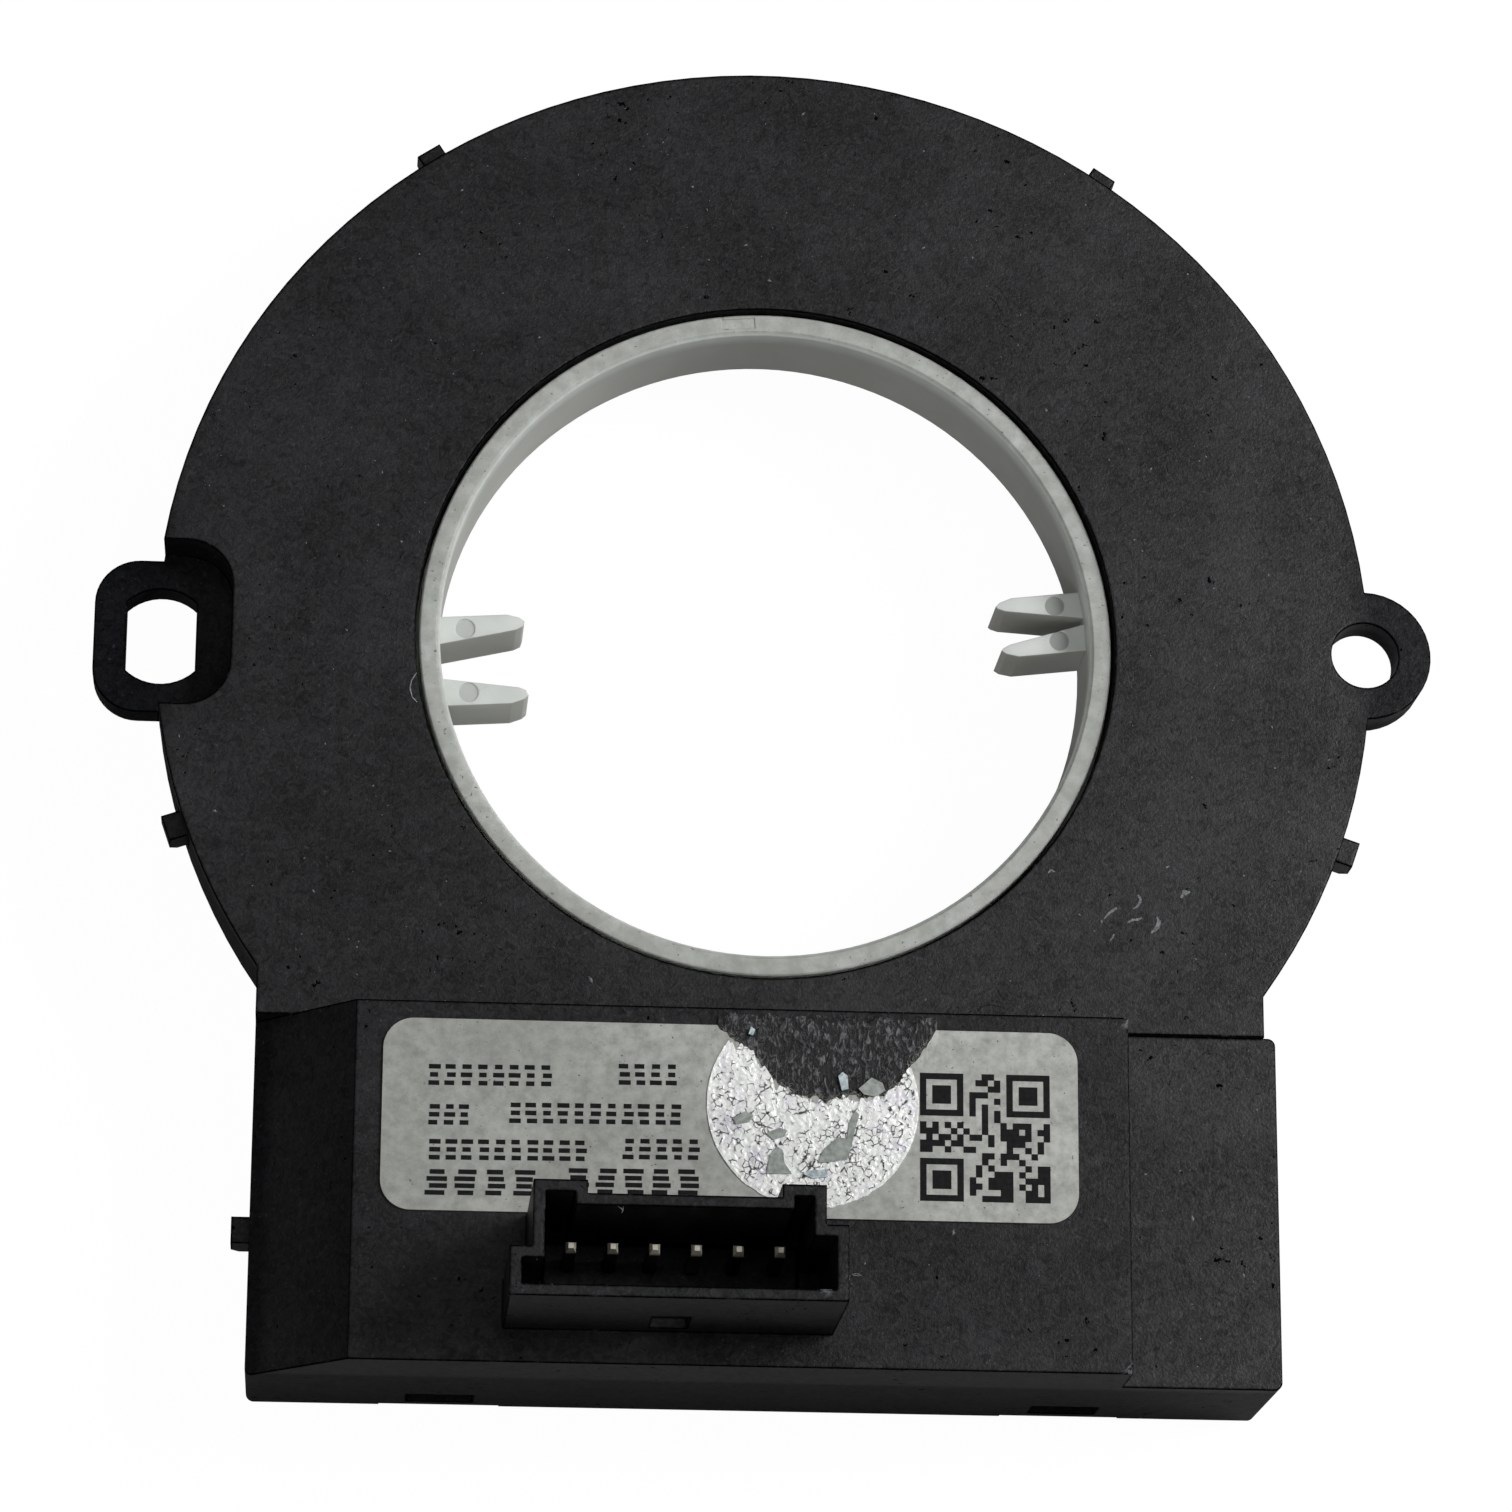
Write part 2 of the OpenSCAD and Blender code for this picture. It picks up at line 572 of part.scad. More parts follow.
module rotor_ring() {
  color("#c8cbc8") {
    difference() {
      rotate_extrude($fn = 180) polygon([[rotor_in, rotor_foot], [rotor_out, rotor_foot],
        [rotor_out, gear_low + 0.3], [rotor_out + 0.6, gear_low + 0.3], [rotor_out + 0.6, gear_high - 0.3],
        [rotor_out, gear_high - 0.3], [rotor_out, rotor_top - 0.1], [rotor_out - 0.1, rotor_top],
        [rotor_in + rim_chamfer, rotor_top], [rotor_in, rotor_top - rim_chamfer]]);
      // index patch in the rim
      rotate([0, 0, 95.2]) box(rotor_in + 0.4, -1.1, rotor_top - 0.05, rotor_out - 0.25, 1.1, 10);
    }
    translate([0, 0, gear_low]) linear_extrude(gear_high - gear_low) difference() {
      gear_plan(rotor_teeth);
      circle(rotor_out - 0.2, $fn = 180);
    }
    difference() {
      translate([0, 0, rotor_foot]) linear_extrude(dog_top - rotor_foot) {
        rotate(dog_angle_a) dog_pair(dog_half_a, 0.15, 1.15);
        rotate(dog_angle_b) dog_pair(dog_half_b, 1.1, 1.95);
      }
      // shallow ejector marks
      for (d = [[dog_angle_a, 1.2], [dog_angle_b, 2.15]]) for (s = [-1, 1]) rotate([0, 0, d[0]])
        translate([19.25, s * d[1], dog_top - 0.08]) cylinder(d = 1.3, h = 1, $fn = 32);
    }
  }
}

// a measuring gear: toothed disc, hub below, blind bore for its post and a seat for its magnet
module gear_body(n) {
  difference() {
    union() {
      translate([0, 0, gear_low]) linear_extrude(gear_high - 0.1 - gear_low) gear_plan(n);
      translate([0, 0, hub_foot]) cylinder(r = hub_r, h = gear_low - hub_foot + e);
    }
    translate([0, 0, hub_foot - 1]) cylinder(r = post_d / 2 + post_gap, h = blind_top - hub_foot + 1);
    translate([0, 0, magnet_foot]) cylinder(r = magnet_d / 2 + magnet_gap, h = 10);
  }
}

// turn that puts a gear of n teeth in mesh at direction a from the rotor
function mesh_turn(n, a) = a + 180 - (180 - rotor_teeth * a) / n;

module measuring_gear_1() {
  color("#d9d6cc") translate([gear_pos_1[0], gear_pos_1[1], 0])
    rotate([0, 0, mesh_turn(teeth_1, dir_1)]) gear_body(teeth_1);
}

module measuring_gear_2() {
  color("#d9d6cc") translate([gear_pos_2[0], gear_pos_2[1], 0])
    rotate([0, 0, mesh_turn(teeth_2, dir_2)]) gear_body(teeth_2);
}

module magnet_body() {
  translate([0, 0, magnet_foot]) cylinder(d = magnet_d, h = magnet_t);
}

module magnet_1() {
  color("#5f6266") translate([gear_pos_1[0], gear_pos_1[1], 0]) magnet_body();
}

module magnet_2() {
  color("#5f6266") translate([gear_pos_2[0], gear_pos_2[1], 0]) magnet_body();
}

module circuit_board() {
  color("#1f5a35") difference() {
    box(board_x, board_y, board_z, board_x + board_w, board_y + board_d, board_top);
    for (p = peg_xy) translate([p[0], p[1], board_z - 1]) cylinder(d = 1.6, h = board_t + 2);
    for (x = pin_x) translate([x, pin_y, board_z - 1])
      cylinder(d = pin_hole_d, h = board_t + 2, $fn = 24);
  }
}

// small package with n leads on each long side, standing on z = 0 and centred
module package(w, d, h, n, pitch, span) {
  translate([-w / 2, -d / 2, 0.1]) cube([w, d, h - 0.1]);
  for (i = [0:n - 1]) translate([(i - (n - 1) / 2) * pitch - 0.2, 0, 0]) {
    translate([0, -span / 2, 0]) cube([0.4, span, 0.2]);
    for (s = [-1, 1]) translate([0, s * (d / 2 + 0.15) - 0.15, 0]) cube([0.4, 0.3, h / 2]);
  }
}

// the board's lower face, at shares u and v of its sides
module under_board(u, v) {
  translate([board_x + u * board_w, board_y + v * board_d, board_z]) mirror([0, 0, 1]) children();
}

// the board's upper face, at shares u and v of its sides
module over_board(u, v) {
  translate([board_x + u * board_w, board_y + v * board_d, board_top]) children();
}

module sensor_chip(g) {
  translate([g[0], g[1], board_z]) mirror([0, 0, 1]) rotate([0, 0, 90])
    package(small_l, small_w, package_h, 4, small_l / 3.9, small_w + 1.7);
}

module sensor_chip_1() {
  color("#1a1a1c") sensor_chip(gear_pos_1);
}

module sensor_chip_2() {
  color("#1a1a1c") sensor_chip(gear_pos_2);
}

module microcontroller() {
  pitch = 0.08 * chip_side;
  color("#17181a") over_board(0.79, 0.585) {
    translate([-chip_side / 2, -chip_side / 2, 0.1]) cube([chip_side, chip_side, package_h - 0.1]);
    for (a = [0:90:270]) rotate([0, 0, a]) for (i = [0:10])
      translate([chip_side / 2 - 0.1, (i - 5) * pitch - 0.15, 0]) cube([1.1, 0.3, 0.3]);
  }
}

module bus_transceiver() {
  color("#1a1a1c") over_board(0.283, 0.681)
    package(small_l, small_w, package_h, 4, small_l / 3.9, small_w + 1.9);
}

module voltage_regulator() {
  color("#1b1b1d") under_board(0.107, 0.5) {
    translate([-0.65 * small_l, -0.76 * small_w, 0.1])
      cube([1.3 * small_l, 1.52 * small_w, package_h - 0.1]);
    translate([-0.53 * small_l, 0.64 * small_w, 0]) cube([1.06 * small_l, 0.41 * small_w, 0.5]);
    for (s = [-1, 1]) translate([s * 0.47 * small_l - 0.35, -1.28 * small_w, 0])
      cube([0.7, 0.77 * small_w, 0.5]);
  }
}

module crystal() {
  color("#b9bbbd") over_board(0.48, 0.787) {
    translate([-crystal_l / 2, -0.31 * crystal_l, 0.1]) cube([crystal_l, 0.62 * crystal_l, 1.0]);
    for (s = [-1, 1]) translate([s * 0.42 * crystal_l - 0.5, -0.33 * crystal_l, 0])
      cube([1, 0.66 * crystal_l, 0.2]);
  }
}

module bulk_capacitor() {
  color("#b4b7ba") under_board(0.644, 0.25) {
    translate([-can_d / 2 - 0.15, -can_d / 2 - 0.15, 0]) cube([can_d + 0.3, can_d + 0.3, 0.8]);
    translate([0, 0, 0.7]) cylinder(d = can_d, h = can_h - 0.7);
  }
}

module choke_coil() {
  l = 0.9 * small_l;
  w = 0.82 * small_w;
  color("#3a3632") under_board(0.85, 0.13) {
    translate([-l / 2, -w / 2, 0]) cube([l, w, 0.4]);
    translate([-l / 2, -w / 2, package_h - 0.4]) cube([l, w, 0.4]);
    translate([-0.37 * l, -0.37 * w, 0.3]) cube([0.74 * l, 0.74 * w, package_h - 0.6]);
  }
}

// two-ended chip part, length along X
module chip_part(h) {
  end = chip_l / 4;
  translate([-chip_l / 2, -chip_w / 2, 0]) cube([chip_l, chip_w, h]);
  for (s = [-1, 1]) translate([s * (chip_l - 0.8 * end) / 2 - end / 2, -chip_w / 2 - 0.03, 0])
    cube([end, chip_w + 0.06, h + 0.03]);
}

module chip_capacitor_1() {
  color("#9a7b56") over_board(0.159, 0.82) chip_part(chip_h);
}

module chip_capacitor_2() {
  color("#9a7b56") over_board(0.159, 0.65) chip_part(chip_h);
}

module chip_capacitor_3() {
  color("#9a7b56") over_board(0.6, 0.81) chip_part(chip_h);
}

module chip_capacitor_4() {
  color("#9a7b56") over_board(0.6, 0.56) chip_part(chip_h);
}

module chip_resistor_1() {
  color("#202124") over_board(0.159, 0.44) chip_part(0.55 * chip_h);
}

module chip_resistor_2() {
  color("#202124") over_board(0.159, 0.28) chip_part(0.55 * chip_h);
}

module chip_resistor_3() {
  color("#202124") over_board(0.728, 0.11) chip_part(0.55 * chip_h);
}

module chip_resistor_4() {
  color("#202124") over_board(0.837, 0.11) chip_part(0.55 * chip_h);
}

module pin_carrier() {
  color("#17181a") difference() {
    union() {
      box(socket_x - half_row - 1.45, pin_y - 1.6, board_top, socket_x + half_row + 1.45,
        pin_y + 1.35, plateau_z - 0.25);
      box(socket_x - half_row - 2.65, pin_y - 2.5, board_top, socket_x + half_row + 2.65,
        pin_y + 2.2, inner_top - 0.3);
    }
    for (x = pin_x) translate([x - pin_s / 2, pin_y - pin_s / 2, 0]) cube([pin_s, pin_s, big]);
  }
}

// one square pin with a pointed tip and a cut lower end
module terminal(i) {
  tip = plateau_z + pin_up;
  translate([pin_x[i], pin_y, 0]) {
    translate([-pin_s / 2, -pin_s / 2, board_z - 1.2]) cube([pin_s, pin_s, tip - 0.6 - board_z + 1.2]);
    translate([0, 0, tip - 0.6]) rotate([0, 0, 45])
      cylinder(r1 = pin_s * sqrt(2) / 2, r2 = pin_s * sqrt(2) / 4, h = 0.6, $fn = 4);
  }
}

module terminal_pin_1() {
  color("#d9c48a") terminal(0);
}

module terminal_pin_2() {
  color("#d9c48a") terminal(1);
}

module terminal_pin_3() {
  color("#d9c48a") terminal(2);
}

module terminal_pin_4() {
  color("#d9c48a") terminal(3);
}

module terminal_pin_5() {
  color("#d9c48a") terminal(4);
}

module terminal_pin_6() {
  color("#d9c48a") terminal(5);
}

// area torn out of the label and of the seal, from the seal's middle and the label's upper edge
torn = [[-5.95, 0.8], [-5.55, -0.8], [-4.25, -1.5], [-3.35, -2.2], [-2.85, -3.6], [-1.75, -4.3],
  [-0.25, -4.8], [1.15, -4.6], [2.55, -4.5], [4.25, -4.4], [5.45, -3.7], [5.85, -2.7], [6.75, -1.8],
  [7.55, -0.6], [7.85, 0.8]];

module label() {
  color("#a9aba6") translate([0, 0, plateau_z]) linear_extrude(label_t) difference() {
    round_rect(label_x, label_y, label_x + label_w, label_top, label_r);
    translate([seal_x, label_top]) polygon(torn);
  }
}

module tamper_seal() {
  color("#c9ccd0") translate([seal_x, label_top, plateau_z + label_t]) linear_extrude(seal_t)
    difference() {
      translate([0, -0.75 * seal_r]) circle(seal_r);
      polygon(concat(torn, [[11.35, 6.8], [-10.65, 6.8]]));
      translate([-12, -label_h - 10]) square([24, 10]);
      translate([-12, -0.4]) square([24, 10]);
    }
}

upper_cover();
base_cover();
rotor_ring();
measuring_gear_1();
measuring_gear_2();
magnet_1();
magnet_2();
circuit_board();
sensor_chip_1();
sensor_chip_2();
microcontroller();
bus_transceiver();
voltage_regulator();
crystal();
bulk_capacitor();
choke_coil();
chip_capacitor_1();
chip_capacitor_2();
chip_capacitor_3();
chip_capacitor_4();
chip_resistor_1();
chip_resistor_2();
chip_resistor_3();
chip_resistor_4();
pin_carrier();
terminal_pin_1();
terminal_pin_2();
terminal_pin_3();
terminal_pin_4();
terminal_pin_5();
terminal_pin_6();
label();
tamper_seal();
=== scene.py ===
# Steering angle sensor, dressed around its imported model. The object stands label up on a white table.
# The sections follow the order in which the sensor is put together. The scene is in metres, and the
# sheets, print and marks drawn here are worked out in millimetres first.
import math

import bpy
import numpy as np
from mathutils import Matrix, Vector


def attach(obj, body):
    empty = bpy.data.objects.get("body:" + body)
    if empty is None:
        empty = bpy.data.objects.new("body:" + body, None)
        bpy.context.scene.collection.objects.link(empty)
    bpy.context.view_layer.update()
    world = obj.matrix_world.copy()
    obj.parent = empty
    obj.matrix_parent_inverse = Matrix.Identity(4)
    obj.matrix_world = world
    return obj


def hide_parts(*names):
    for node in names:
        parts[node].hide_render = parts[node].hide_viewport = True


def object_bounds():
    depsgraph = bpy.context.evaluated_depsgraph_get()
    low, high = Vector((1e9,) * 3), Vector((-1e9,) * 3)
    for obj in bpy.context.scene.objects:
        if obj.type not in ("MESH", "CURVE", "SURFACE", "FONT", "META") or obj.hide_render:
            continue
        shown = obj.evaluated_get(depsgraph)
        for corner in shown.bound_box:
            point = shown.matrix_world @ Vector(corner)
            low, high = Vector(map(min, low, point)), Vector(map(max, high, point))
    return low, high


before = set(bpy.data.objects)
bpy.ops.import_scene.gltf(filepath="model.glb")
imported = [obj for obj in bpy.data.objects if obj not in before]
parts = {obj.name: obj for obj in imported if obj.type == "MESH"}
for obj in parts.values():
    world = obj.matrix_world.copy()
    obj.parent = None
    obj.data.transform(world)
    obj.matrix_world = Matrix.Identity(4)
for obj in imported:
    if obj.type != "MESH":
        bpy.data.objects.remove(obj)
packed_low, packed_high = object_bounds()

# Base cover
# The lower shell closes the ring and the block from below and clips into the upper cover with its noses.
# It is injection moulded from black glass-filled nylon: matt, finely grained, with faint cloudy patches.
mm = 0.001


def colour(text):
    """Linear red, green, blue and alpha of an sRGB hex colour, by the sRGB curve."""
    c = np.array([int(text[i:i + 2], 16) for i in (1, 3, 5)]) / 255
    c = np.where(c <= 0.04045, c / 12.92, ((c + 0.055) / 1.055) ** 2.4)
    return (*c, 1.0)


def add(tree, kind, fill=None, **settings):
    """Adds one shader node, sets its properties, and fills its inputs with values or other nodes' outputs."""
    made = tree.nodes.new("ShaderNode" + kind)
    for key, value in settings.items():
        setattr(made, key, value)
    for key, value in (fill or {}).items():
        if isinstance(value, bpy.types.NodeSocket):
            tree.links.new(value, made.inputs[key])
        else:
            made.inputs[key].default_value = value
    return made


def blank(name):
    """A new material with only its output and the position on the piece, in metres."""
    material = bpy.data.materials.new(name)
    material.use_nodes = True
    tree = material.node_tree
    tree.nodes.clear()
    place = add(tree, "TexCoord").outputs["Object"]
    return material, tree, place, add(tree, "OutputMaterial")


def dress(material, *names):
    """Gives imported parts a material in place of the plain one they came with."""
    for name in names:
        slots = parts[name].material_slots
        if not slots:
            parts[name].data.materials.append(material)
        for entry in slots:
            entry.material = material


def moulded_nylon(name, dark, light, worn_and_highlight_tone, edge_wear_and_highlight_share):
    """Black glass-filled nylon. Two close colours in 9 mm clouds and in 0.5 mm swirls of glass fibre, a
    grain of 0.2 mm bumps, drawn a little coarser than the real 0.1 mm so that it shows, shallow dark pits
    in loose groups, and rounded edges painted near black as shade and in places a paler grey, partly
    rubbed wear and partly a painted edge highlight. The surface is returned too, for scuffs."""
    material, tree, place, out = blank(name)
    clouds = add(tree, "TexNoise", {"Vector": place, "Scale": 1 / (9 * mm), "Detail": 5.0, "Roughness": 0.6})
    swirls = add(tree, "TexNoise", {"Vector": place, "Scale": 1 / (0.55 * mm), "Detail": 4.0,
                                    "Roughness": 0.7, "Distortion": 1.2})
    mixed = add(tree, "Math", {0: clouds.outputs["Fac"], 1: 0.4, 2: swirls.outputs["Fac"]},
                operation="MULTIPLY_ADD")
    share = add(tree, "MapRange", {"Value": mixed.outputs[0], "From Min": 0.52, "From Max": 0.88})
    body = add(tree, "Mix", {0: share.outputs[0], 6: colour(dark), 7: colour(light)}, data_type="RGBA")
    specks = add(tree, "TexNoise", {"Vector": place, "Scale": 1 / (0.3 * mm), "Detail": 2.0})
    dust = add(tree, "MapRange", {"Value": specks.outputs["Fac"], "From Min": 0.66, "From Max": 0.8,
                                  "To Max": 0.45})
    dusty = add(tree, "Mix", {0: dust.outputs[0], 6: body.outputs[2], 7: colour("#4c4f54")}, data_type="RGBA")
    dents = add(tree, "TexNoise", {"Vector": place, "Scale": 1 / (0.62 * mm), "Detail": 3.0,
                                   "Roughness": 0.6})
    groups = add(tree, "TexNoise", {"Vector": place, "Scale": 1 / (6 * mm), "Detail": 1.0})
    edge_of_group = add(tree, "MapRange", {"Value": groups.outputs["Fac"], "From Min": 0.35, "From Max": 0.7,
                                           "To Min": 0.25, "To Max": 0.36})
    pit = add(tree, "Math", {0: edge_of_group.outputs[0], 1: dents.outputs["Fac"]}, operation="SUBTRACT")
    hollow = add(tree, "MapRange", {"Value": pit.outputs[0], "From Min": 0.0, "From Max": 0.05})
    pitted = add(tree, "Mix", {0: hollow.outputs[0], 6: dusty.outputs[2], 7: colour("#060607")},
                 data_type="RGBA")
    rounded = add(tree, "Bevel", {"Radius": 0.28 * mm}, samples=8)
    facing = add(tree, "NewGeometry")
    turn = add(tree, "VectorMath", {0: rounded.outputs[0], 1: facing.outputs["Normal"]},
               operation="DOT_PRODUCT")
    edge = add(tree, "MapRange", {"Value": turn.outputs["Value"], "From Min": 0.997, "From Max": 0.92})
    patch = add(tree, "TexNoise", {"Vector": place, "Scale": 1 / (1.6 * mm), "Detail": 4.0,
                                   "Roughness": 0.75})
    rubbed_and_lit_patch = add(tree, "MapRange", {"Value": patch.outputs["Fac"], "From Min": 0.58, "From Max": 0.7,
                                    "To Max": edge_wear_and_highlight_share})
    # Painted shade: the rounded edges are mixed to near black and lose their sheen.
    shade = add(tree, "Math", {0: edge.outputs[0], 1: 0.95}, operation="MULTIPLY")
    edge_painted_shade = add(tree, "Mix", {0: shade.outputs[0], 6: pitted.outputs[2], 7: colour("#030304")},
                 data_type="RGBA")
    # The paler grey on the edges is partly rubbed wear and partly a painted edge highlight.
    edge_wear_and_painted_highlight = add(tree, "Math", {0: edge.outputs[0], 1: rubbed_and_lit_patch.outputs[0]}, operation="MULTIPLY")
    skin = add(tree, "Mix", {0: edge_wear_and_painted_highlight.outputs[0], 6: edge_painted_shade.outputs[2], 7: colour(worn_and_highlight_tone)}, data_type="RGBA")
    sheen = add(tree, "MapRange", {"Value": clouds.outputs["Fac"], "From Min": 0.3, "From Max": 0.7,
                                   "To Min": 0.4, "To Max": 0.48})
    grain = add(tree, "TexNoise", {"Vector": place, "Scale": 1 / (0.2 * mm), "Detail": 3.0, "Roughness": 0.7})
    relief = add(tree, "Math", {0: hollow.outputs[0], 1: -1.5, 2: grain.outputs["Fac"]},
                 operation="MULTIPLY_ADD")
    bumps = add(tree, "Bump", {"Height": relief.outputs[0], "Strength": 0.7, "Distance": 0.045 * mm,
                               "Normal": rounded.outputs[0]})
    fibrous = add(tree, "MapRange", {"Value": mixed.outputs[0], "From Min": 0.5, "From Max": 0.9,
                                     "To Min": 0.26, "To Max": 0.62})
    matt = add(tree, "Math", {0: hollow.outputs[0], 1: shade.outputs[0]}, operation="MAXIMUM")
    dull = add(tree, "Math", {0: matt.outputs[0], 1: -0.58, 2: fibrous.outputs[0]}, operation="MULTIPLY_ADD",
               use_clamp=True)
    surface = add(tree, "BsdfPrincipled", {"Base Color": skin.outputs[2], "Roughness": sheen.outputs[0],
                                           "Specular IOR Level": dull.outputs[0], "Normal": bumps.outputs[0]})
    tree.links.new(surface.outputs[0], out.inputs["Surface"])
    return material, tree, place, surface


dress(moulded_nylon("glass_filled_nylon_base", "#0b0b0c", "#131415", "#3a3b3d", 0.6)[0], "base_cover")

# Measuring gears and magnets
# Two small natural POM gears run on posts of the base cover, each with a ferrite disc glued into its face.
# The POM is milky and slightly glossy. The ferrite is dark grey and dry, with a sintered grain.


def natural_pom(name, shade, light, dark, roughness, soiled_from=50.0):
    """Unfilled acetal as moulded: milky, light sinks 2 mm into it, with a faint cloudy tone. Above a given
    height in millimetres it is dulled by handling and has small dark specks, and upright walls below it
    are a little greyer and warmer, which is painted shade."""
    material, tree, place, out = blank(name)
    clouds = add(tree, "TexNoise", {"Vector": place, "Scale": 1 / (4 * mm), "Detail": 4.0, "Roughness": 0.6})
    share = add(tree, "MapRange", {"Value": clouds.outputs["Fac"], "From Min": 0.35, "From Max": 0.7})
    tone = add(tree, "Mix", {0: share.outputs[0], 6: colour(shade), 7: colour(light)}, data_type="RGBA")
    dirt = add(tree, "TexNoise", {"Vector": place, "Scale": 1 / (0.5 * mm), "Detail": 5.0, "Roughness": 0.8})
    spots = add(tree, "MapRange", {"Value": dirt.outputs["Fac"], "From Min": 0.62, "From Max": 0.76,
                                   "To Max": 0.5})
    height = add(tree, "SeparateXYZ", {"Vector": place})
    film = add(tree, "MapRange", {"Value": height.outputs["Z"], "From Min": soiled_from * mm,
                                  "From Max": (soiled_from + 0.3) * mm, "To Max": 0.75})
    # Painted shade: upright walls below the soiled height are mixed towards a warm grey.
    low = add(tree, "MapRange", {"Value": height.outputs["Z"], "From Min": (soiled_from - 0.4) * mm,
                                 "From Max": (soiled_from - 1.4) * mm, "To Max": 0.55})
    facing = add(tree, "NewGeometry")
    way = add(tree, "SeparateXYZ", {"Vector": facing.outputs["Normal"]})
    upright = add(tree, "MapRange", {"Value": way.outputs["Z"], "From Min": 0.8, "From Max": 0.3})
    walls = add(tree, "Math", {0: low.outputs[0], 1: upright.outputs[0]}, operation="MULTIPLY")
    painted_wall_shade = add(tree, "Mix", {0: walls.outputs[0], 6: tone.outputs[2], 7: colour("#a9a8a0")}, data_type="RGBA")
    smear = add(tree, "TexNoise", {"Vector": place, "Scale": 1 / (1.3 * mm), "Detail": 5.0, "Roughness": 0.7})
    uneven = add(tree, "MapRange", {"Value": smear.outputs["Fac"], "From Min": 0.34, "From Max": 0.6,
                                    "To Min": 0.6})
    patchy = add(tree, "Math", {0: film.outputs[0], 1: uneven.outputs[0]}, operation="MULTIPLY")
    veil = add(tree, "Math", {0: spots.outputs[0], 1: patchy.outputs[0]}, operation="MAXIMUM")
    dulled = add(tree, "Mix", {0: veil.outputs[0], 6: painted_wall_shade.outputs[2], 7: colour(dark)}, data_type="RGBA")
    grit = add(tree, "TexNoise", {"Vector": place, "Scale": 1 / (0.26 * mm), "Detail": 2.0})
    speck = add(tree, "MapRange", {"Value": grit.outputs["Fac"], "From Min": 0.68, "From Max": 0.76})
    near_top = add(tree, "Math", {0: speck.outputs[0], 1: film.outputs[0]}, operation="MULTIPLY")
    soiled = add(tree, "Mix", {0: near_top.outputs[0], 6: dulled.outputs[2], 7: colour("#343532")},
                 data_type="RGBA")
    rounded = add(tree, "Bevel", {"Radius": 0.1 * mm}, samples=4)
    grain = add(tree, "TexNoise", {"Vector": place, "Scale": 1 / (0.3 * mm), "Detail": 2.0})
    bumps = add(tree, "Bump", {"Height": grain.outputs["Fac"], "Strength": 0.2, "Distance": 0.02 * mm,
                               "Normal": rounded.outputs[0]})
    surface = add(tree, "BsdfPrincipled", {
        "Base Color": soiled.outputs[2], "Roughness": roughness, "Normal": bumps.outputs[0], "IOR": 1.48,
        "Subsurface Weight": 0.4, "Subsurface Radius": (1.0, 1.0, 0.92), "Subsurface Scale": 2 * mm})
    tree.links.new(surface.outputs[0], out.inputs["Surface"])
    return material, tree, place, surface


def grained(name, low, high, grain_mm, roughness, metallic=0.0, sheen=0.5):
    """A plain surface of two close tones in grains of a given size, with the same grain in its relief."""
    material, tree, place, out = blank(name)
    grain = add(tree, "TexNoise", {"Vector": place, "Scale": 1 / (grain_mm * mm), "Detail": 4.0})
    share = add(tree, "MapRange", {"Value": grain.outputs["Fac"], "From Min": 0.35, "From Max": 0.65})
    tone = add(tree, "Mix", {0: share.outputs[0], 6: colour(low), 7: colour(high)}, data_type="RGBA")
    bumps = add(tree, "Bump", {"Height": grain.outputs["Fac"], "Strength": 0.4, "Distance": 0.01 * mm})
    surface = add(tree, "BsdfPrincipled", {"Base Color": tone.outputs[2], "Roughness": roughness,
                                           "Metallic": metallic, "Normal": bumps.outputs[0],
                                           "Specular IOR Level": sheen})
    tree.links.new(surface.outputs[0], out.inputs["Surface"])
    return material


dress(natural_pom("natural_pom_gears", "#cfccc0", "#dedbd0", "#a8a59a", 0.35)[0], "measuring_gear_1",
      "measuring_gear_2")
dress(grained("sintered_ferrite", "#3c3e41", "#585a5e", 0.12, 0.55), "magnet_1", "magnet_2")

# Rotor
# The white ring that the steering shaft turns is one natural POM moulding. It shows a cool off-white rim,
# a milky inner wall and four driving dogs with round ejector marks, a little soiled by years of running.
rotor_skin, rotor_tree, rotor_place, rotor_surface = natural_pom(
    "natural_pom_rotor", "#d3d7d3", "#e2e6e2", "#8f908a", 0.38, 6.3)


def blend_over(tree, surface, share, tone):
    """Mixes one more colour over what a surface has, by a share."""
    under = surface.inputs["Base Color"].links[0].from_socket
    mixed = add(tree, "Mix", {0: share, 6: under, 7: colour(tone)}, data_type="RGBA")
    tree.links.new(mixed.outputs[2], surface.inputs["Base Color"])


dog_top = 4.55
ejector_marks = ((18.96, 3.54, 0.7), (19.25, 1.16, 0.7), (-19.05, -3.49, 0.35), (-19.35, 0.80, 0.35))
for mark_x, mark_y, depth in ejector_marks:
    off = add(rotor_tree, "VectorMath", {0: rotor_place, 1: (mark_x * mm, mark_y * mm, dog_top * mm)},
              operation="DISTANCE")
    disc = add(rotor_tree, "MapRange", {"Value": off.outputs["Value"], "From Min": 0.66 * mm,
                                        "From Max": 0.6 * mm, "To Max": depth})
    blend_over(rotor_tree, rotor_surface, disc.outputs[0], "#8d8f8b")
dress(rotor_skin, "rotor_ring")

# Circuit board and its parts
# An FR-4 board under green solder mask carries two angle chips, a controller, a bus driver and their
# small parts, all soldered. The moulded epoxy packages look dull black, the drawn aluminium and nickel
# cans bright, the wound choke dark brown, and the fired chips tan or glossy black.


